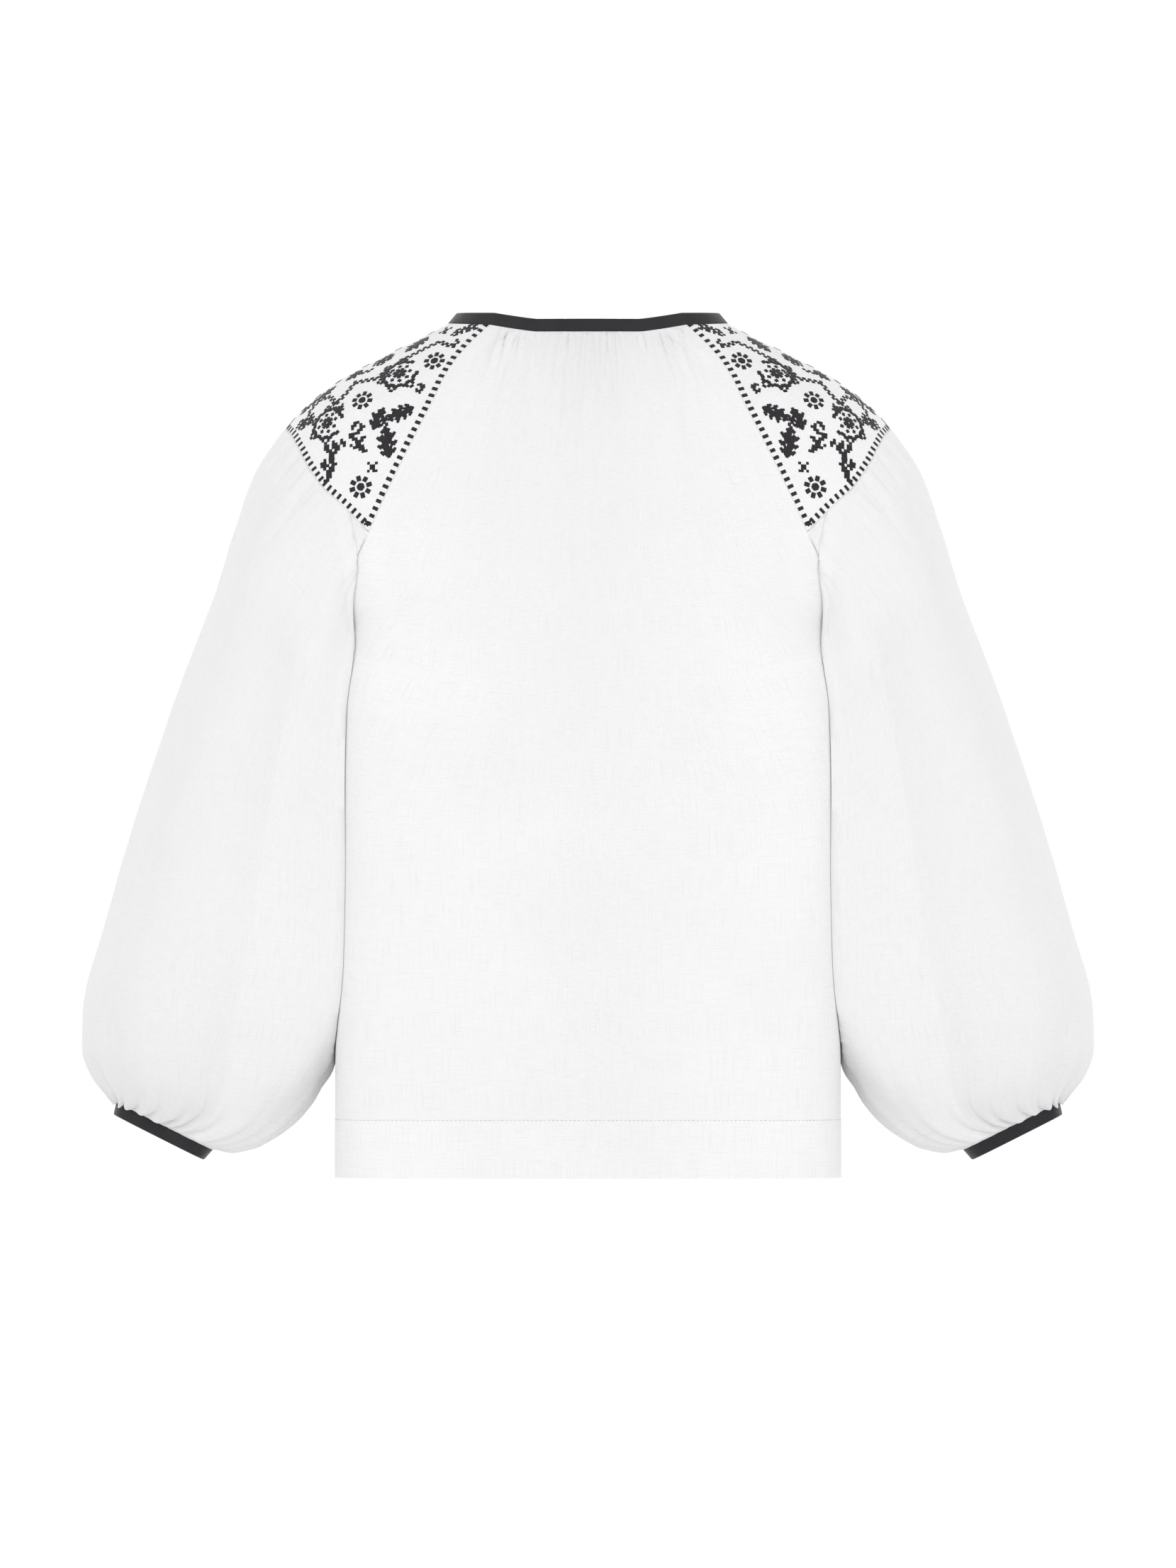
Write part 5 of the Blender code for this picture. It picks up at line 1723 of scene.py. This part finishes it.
class SHIRT_OT_embroidery(bpy.types.Operator):
    """Lay the embroidery on the yokes"""

    bl_idname = "shirt.embroidery"
    bl_label = "Embroidery"

    def execute(self, context):
        sizes = context.scene.shirt_thread
        finish = thread_finish("embroidery_thread", tuple(sizes.colour), strands=5.0, sheen=0.3)
        form = stitch_form("satin_block", corner=0.1)
        rows = embroidery_blocks()
        tree = surface_of(bpy.data.objects["linen_yoke_right"])
        outward = unit(rows[:, :3] * np.array([1.0, 1.0, 0.0]) - np.array(FROM_INSIDE))
        spots, normals = set_down(tree, rows[:, :3] * MM, outward)
        for side, turned in SIDES:
            places = turned(spots), turned(rows[:, 3:6]), turned(normals), rows[:, 6:8] * MM
            laid = {"padding": sizes.padding, "unevenness": 0.07, "seed": 11}
            made = laid_stitches(f"embroidery_{side}", *places, form, finish, **laid)
            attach(made, "root")
        bpy.data.objects.remove(form)
        return {"FINISHED"}


class SHIRT_OT_sewing(bpy.types.Operator):
    """Sew the hem"""

    bl_idname = "shirt.sewing"
    bl_label = "Sewing"

    def execute(self, context):
        sizes = context.scene.shirt_thread
        # The grey of the sewing thread is painted shade along the hem's line of stitches.
        finish = thread_finish("sewing_thread", tuple(sizes.shaded_sewing_colour), strands=2.0, sheen=0.2)
        form = stitch_form("running_stitch", corner=0.3)
        drop = SHIRT_DROP - HEM_DEPTH - HEM_STITCH_RISE
        for node, front in (("back_panel", False), ("front_panel", True)):
            tree = surface_of(bpy.data.objects["linen_" + node])
            quarter = math.pi / 2 - HEM_STITCH_MARGIN
            turn = np.linspace(-quarter, quarter, FINE_HEM) + (math.pi if front else 0.0)
            along = lengths_along(body_surface(turn, np.full(FINE_HEM, drop)) * MM)
            at = np.interp(np.arange(sizes.hem_pitch, along[-1], sizes.hem_pitch), along, turn)
            drops = np.full(len(at), drop)
            spots = body_surface(at, drops)
            ways = body_surface(at + 0.003, drops) - spots
            spots, normals = set_down(tree, spots * MM, body_normal(at, drops))
            lengths = np.tile([sizes.hem_pitch * HEM_STITCH_SHARE, HEM_STITCH_WIDTH], (len(at), 1))
            places = spots, unit(ways), normals, lengths
            laid = {"padding": HEM_STITCH_HEIGHT, "unevenness": 0.12, "seed": 5}
            made = laid_stitches(f"hem_stitches_{node}", *places, form, finish, **laid)
            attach(made, "root")
        bpy.data.objects.remove(form)
        return {"FINISHED"}


# Stage sizes in metres: the picture takes in 1.263 m of the plane of the shirt
CAMERA_DISTANCE = 20.0
CAMERA_SENSOR = 36.0
PHOTO_HEIGHT = 1.263
PHOTO_MIDDLE = -0.379
FLOOR_RADIUS, FLOOR_LEVEL, FLOOR_SIDES = 3.0, -1.25, 96

# White surroundings, their strength at the horizon and above and below it, and where it changes
WORLD_RIM, WORLD_TOP = 1.0, 0.86
WORLD_FADE = (0.12, 0.55)

# Soft lights: name, place, size and power. All look at one point of the shirt.
LIGHTS = (
    ("soft_left", (-3.2, -4.6, 2.2), 2.6, 32.0),
    ("soft_right", (3.6, -4.2, 0.6), 2.6, 26.0),
    ("soft_back", (-0.4, -6.0, 0.3), 3.0, 22.0),
    ("soft_front_left", (-3.4, 4.4, 2.2), 2.6, 38.0),
    ("soft_front_right", (3.4, 4.6, 1.2), 2.6, 44.0),
)
LIT_POINT = (0.0, 0.0, -0.35)


def lay_floor(colour):
    """A round, pale floor."""
    turns = [2 * math.pi * k / FLOOR_SIDES for k in range(FLOOR_SIDES)]
    ring = [(FLOOR_RADIUS * math.cos(turn), FLOOR_RADIUS * math.sin(turn), FLOOR_LEVEL) for turn in turns]
    mesh = bpy.data.meshes.new("floor")
    mesh.from_pydata(ring, [], [tuple(range(FLOOR_SIDES))])
    finish = bpy.data.materials.new("pale_floor")
    finish.use_nodes = True
    shader = finish.node_tree.nodes["Principled BSDF"]
    shader.inputs["Base Color"].default_value = (*colour, 1.0)
    shader.inputs["Roughness"].default_value = 0.9
    mesh.materials.append(finish)
    placed("floor", mesh)


def light_world():
    """White surroundings that are a little dimmer above and below than at the horizon."""
    world = bpy.data.worlds.new("studio")
    world.use_nodes = True
    tree = world.node_tree
    place = tree.nodes.new("ShaderNodeTexCoord").outputs["Generated"]
    parts = added(tree, "ShaderNodeSeparateXYZ", Vector=place)
    height = math_node(tree, "ABSOLUTE", parts.outputs["Z"])
    low, high = WORLD_FADE
    ends = {"From_Min": low, "From_Max": high, "To_Min": WORLD_RIM, "To_Max": WORLD_TOP}
    fade = added(tree, "ShaderNodeMapRange", Value=height, **ends)
    fade.interpolation_type = "SMOOTHSTEP"
    fed(tree, tree.nodes["Background"].inputs["Strength"], fade.outputs["Result"])
    tree.nodes["Background"].inputs["Color"].default_value = (1.0, 1.0, 1.0, 1.0)
    return world


class SHIRT_OT_stage(bpy.types.Operator):
    """Lay the floor, and set the light and the camera"""

    bl_idname = "shirt.stage"
    bl_label = "Stage"

    def execute(self, context):
        stage = context.scene.shirt_stage
        lay_floor(stage.floor_colour)
        for name, place, size, power in LIGHTS:
            lamp = bpy.data.lights.new(name, "AREA")
            lamp.shape = "DISK"
            lamp.size = size
            lamp.energy = power * stage.light
            holder = placed(name, lamp)
            holder.location = place
            holder.rotation_euler = (Vector(LIT_POINT) - Vector(place)).to_track_quat("-Z", "Y").to_euler()
        context.scene.world = light_world()
        camera = bpy.data.cameras.new("camera")
        camera.sensor_width = CAMERA_SENSOR
        camera.lens = CAMERA_SENSOR * CAMERA_DISTANCE / PHOTO_HEIGHT
        camera.clip_end = 90.0
        holder = placed("camera", camera)
        holder.location = (0.0, -CAMERA_DISTANCE, PHOTO_MIDDLE)
        holder.rotation_euler = (math.pi / 2, 0.0, 0.0)
        context.scene.camera = holder
        context.scene.view_settings.view_transform = "Standard"
        return {"FINISHED"}


class SHIRT_PT_make(bpy.types.Panel):
    """Steps and sizes of the shirt"""

    bl_idname = "SHIRT_PT_make"
    bl_label = "Embroidered shirt"
    bl_space_type = "VIEW_3D"
    bl_region_type = "UI"
    bl_category = "Shirt"

    def draw(self, context):
        for name, kind in GROUPS.items():
            box = self.layout.box()
            box.label(text=kind.__doc__)
            for key in kind.__annotations__:
                box.prop(getattr(context.scene, name), key)
        for kind in OPERATORS:
            self.layout.operator(kind.bl_idname)


GROUPS = {
    "shirt_linen": ShirtLinen,
    "shirt_tape": ShirtTape,
    "shirt_thread": ShirtThread,
    "shirt_stage": ShirtStage,
}
OPERATORS = (
    SHIRT_OT_panels,
    SHIRT_OT_yokes,
    SHIRT_OT_sleeves,
    SHIRT_OT_tapes,
    SHIRT_OT_embroidery,
    SHIRT_OT_sewing,
    SHIRT_OT_stage,
)


def register():
    for name, kind in GROUPS.items():
        bpy.utils.register_class(kind)
        setattr(bpy.types.Scene, name, bpy.props.PointerProperty(type=kind))
    for kind in (*OPERATORS, SHIRT_PT_make):
        bpy.utils.register_class(kind)


def unregister():
    for kind in (SHIRT_PT_make, *reversed(OPERATORS)):
        bpy.utils.unregister_class(kind)
    for name, kind in GROUPS.items():
        delattr(bpy.types.Scene, name)
        bpy.utils.unregister_class(kind)


def main():
    register()
    bpy.ops.shirt.panels()
    bpy.ops.shirt.yokes()
    bpy.ops.shirt.sleeves()
    bpy.ops.shirt.tapes()
    bpy.ops.shirt.embroidery()
    bpy.ops.shirt.sewing()
    bpy.ops.shirt.stage()


if __name__ == "__main__":
    main()
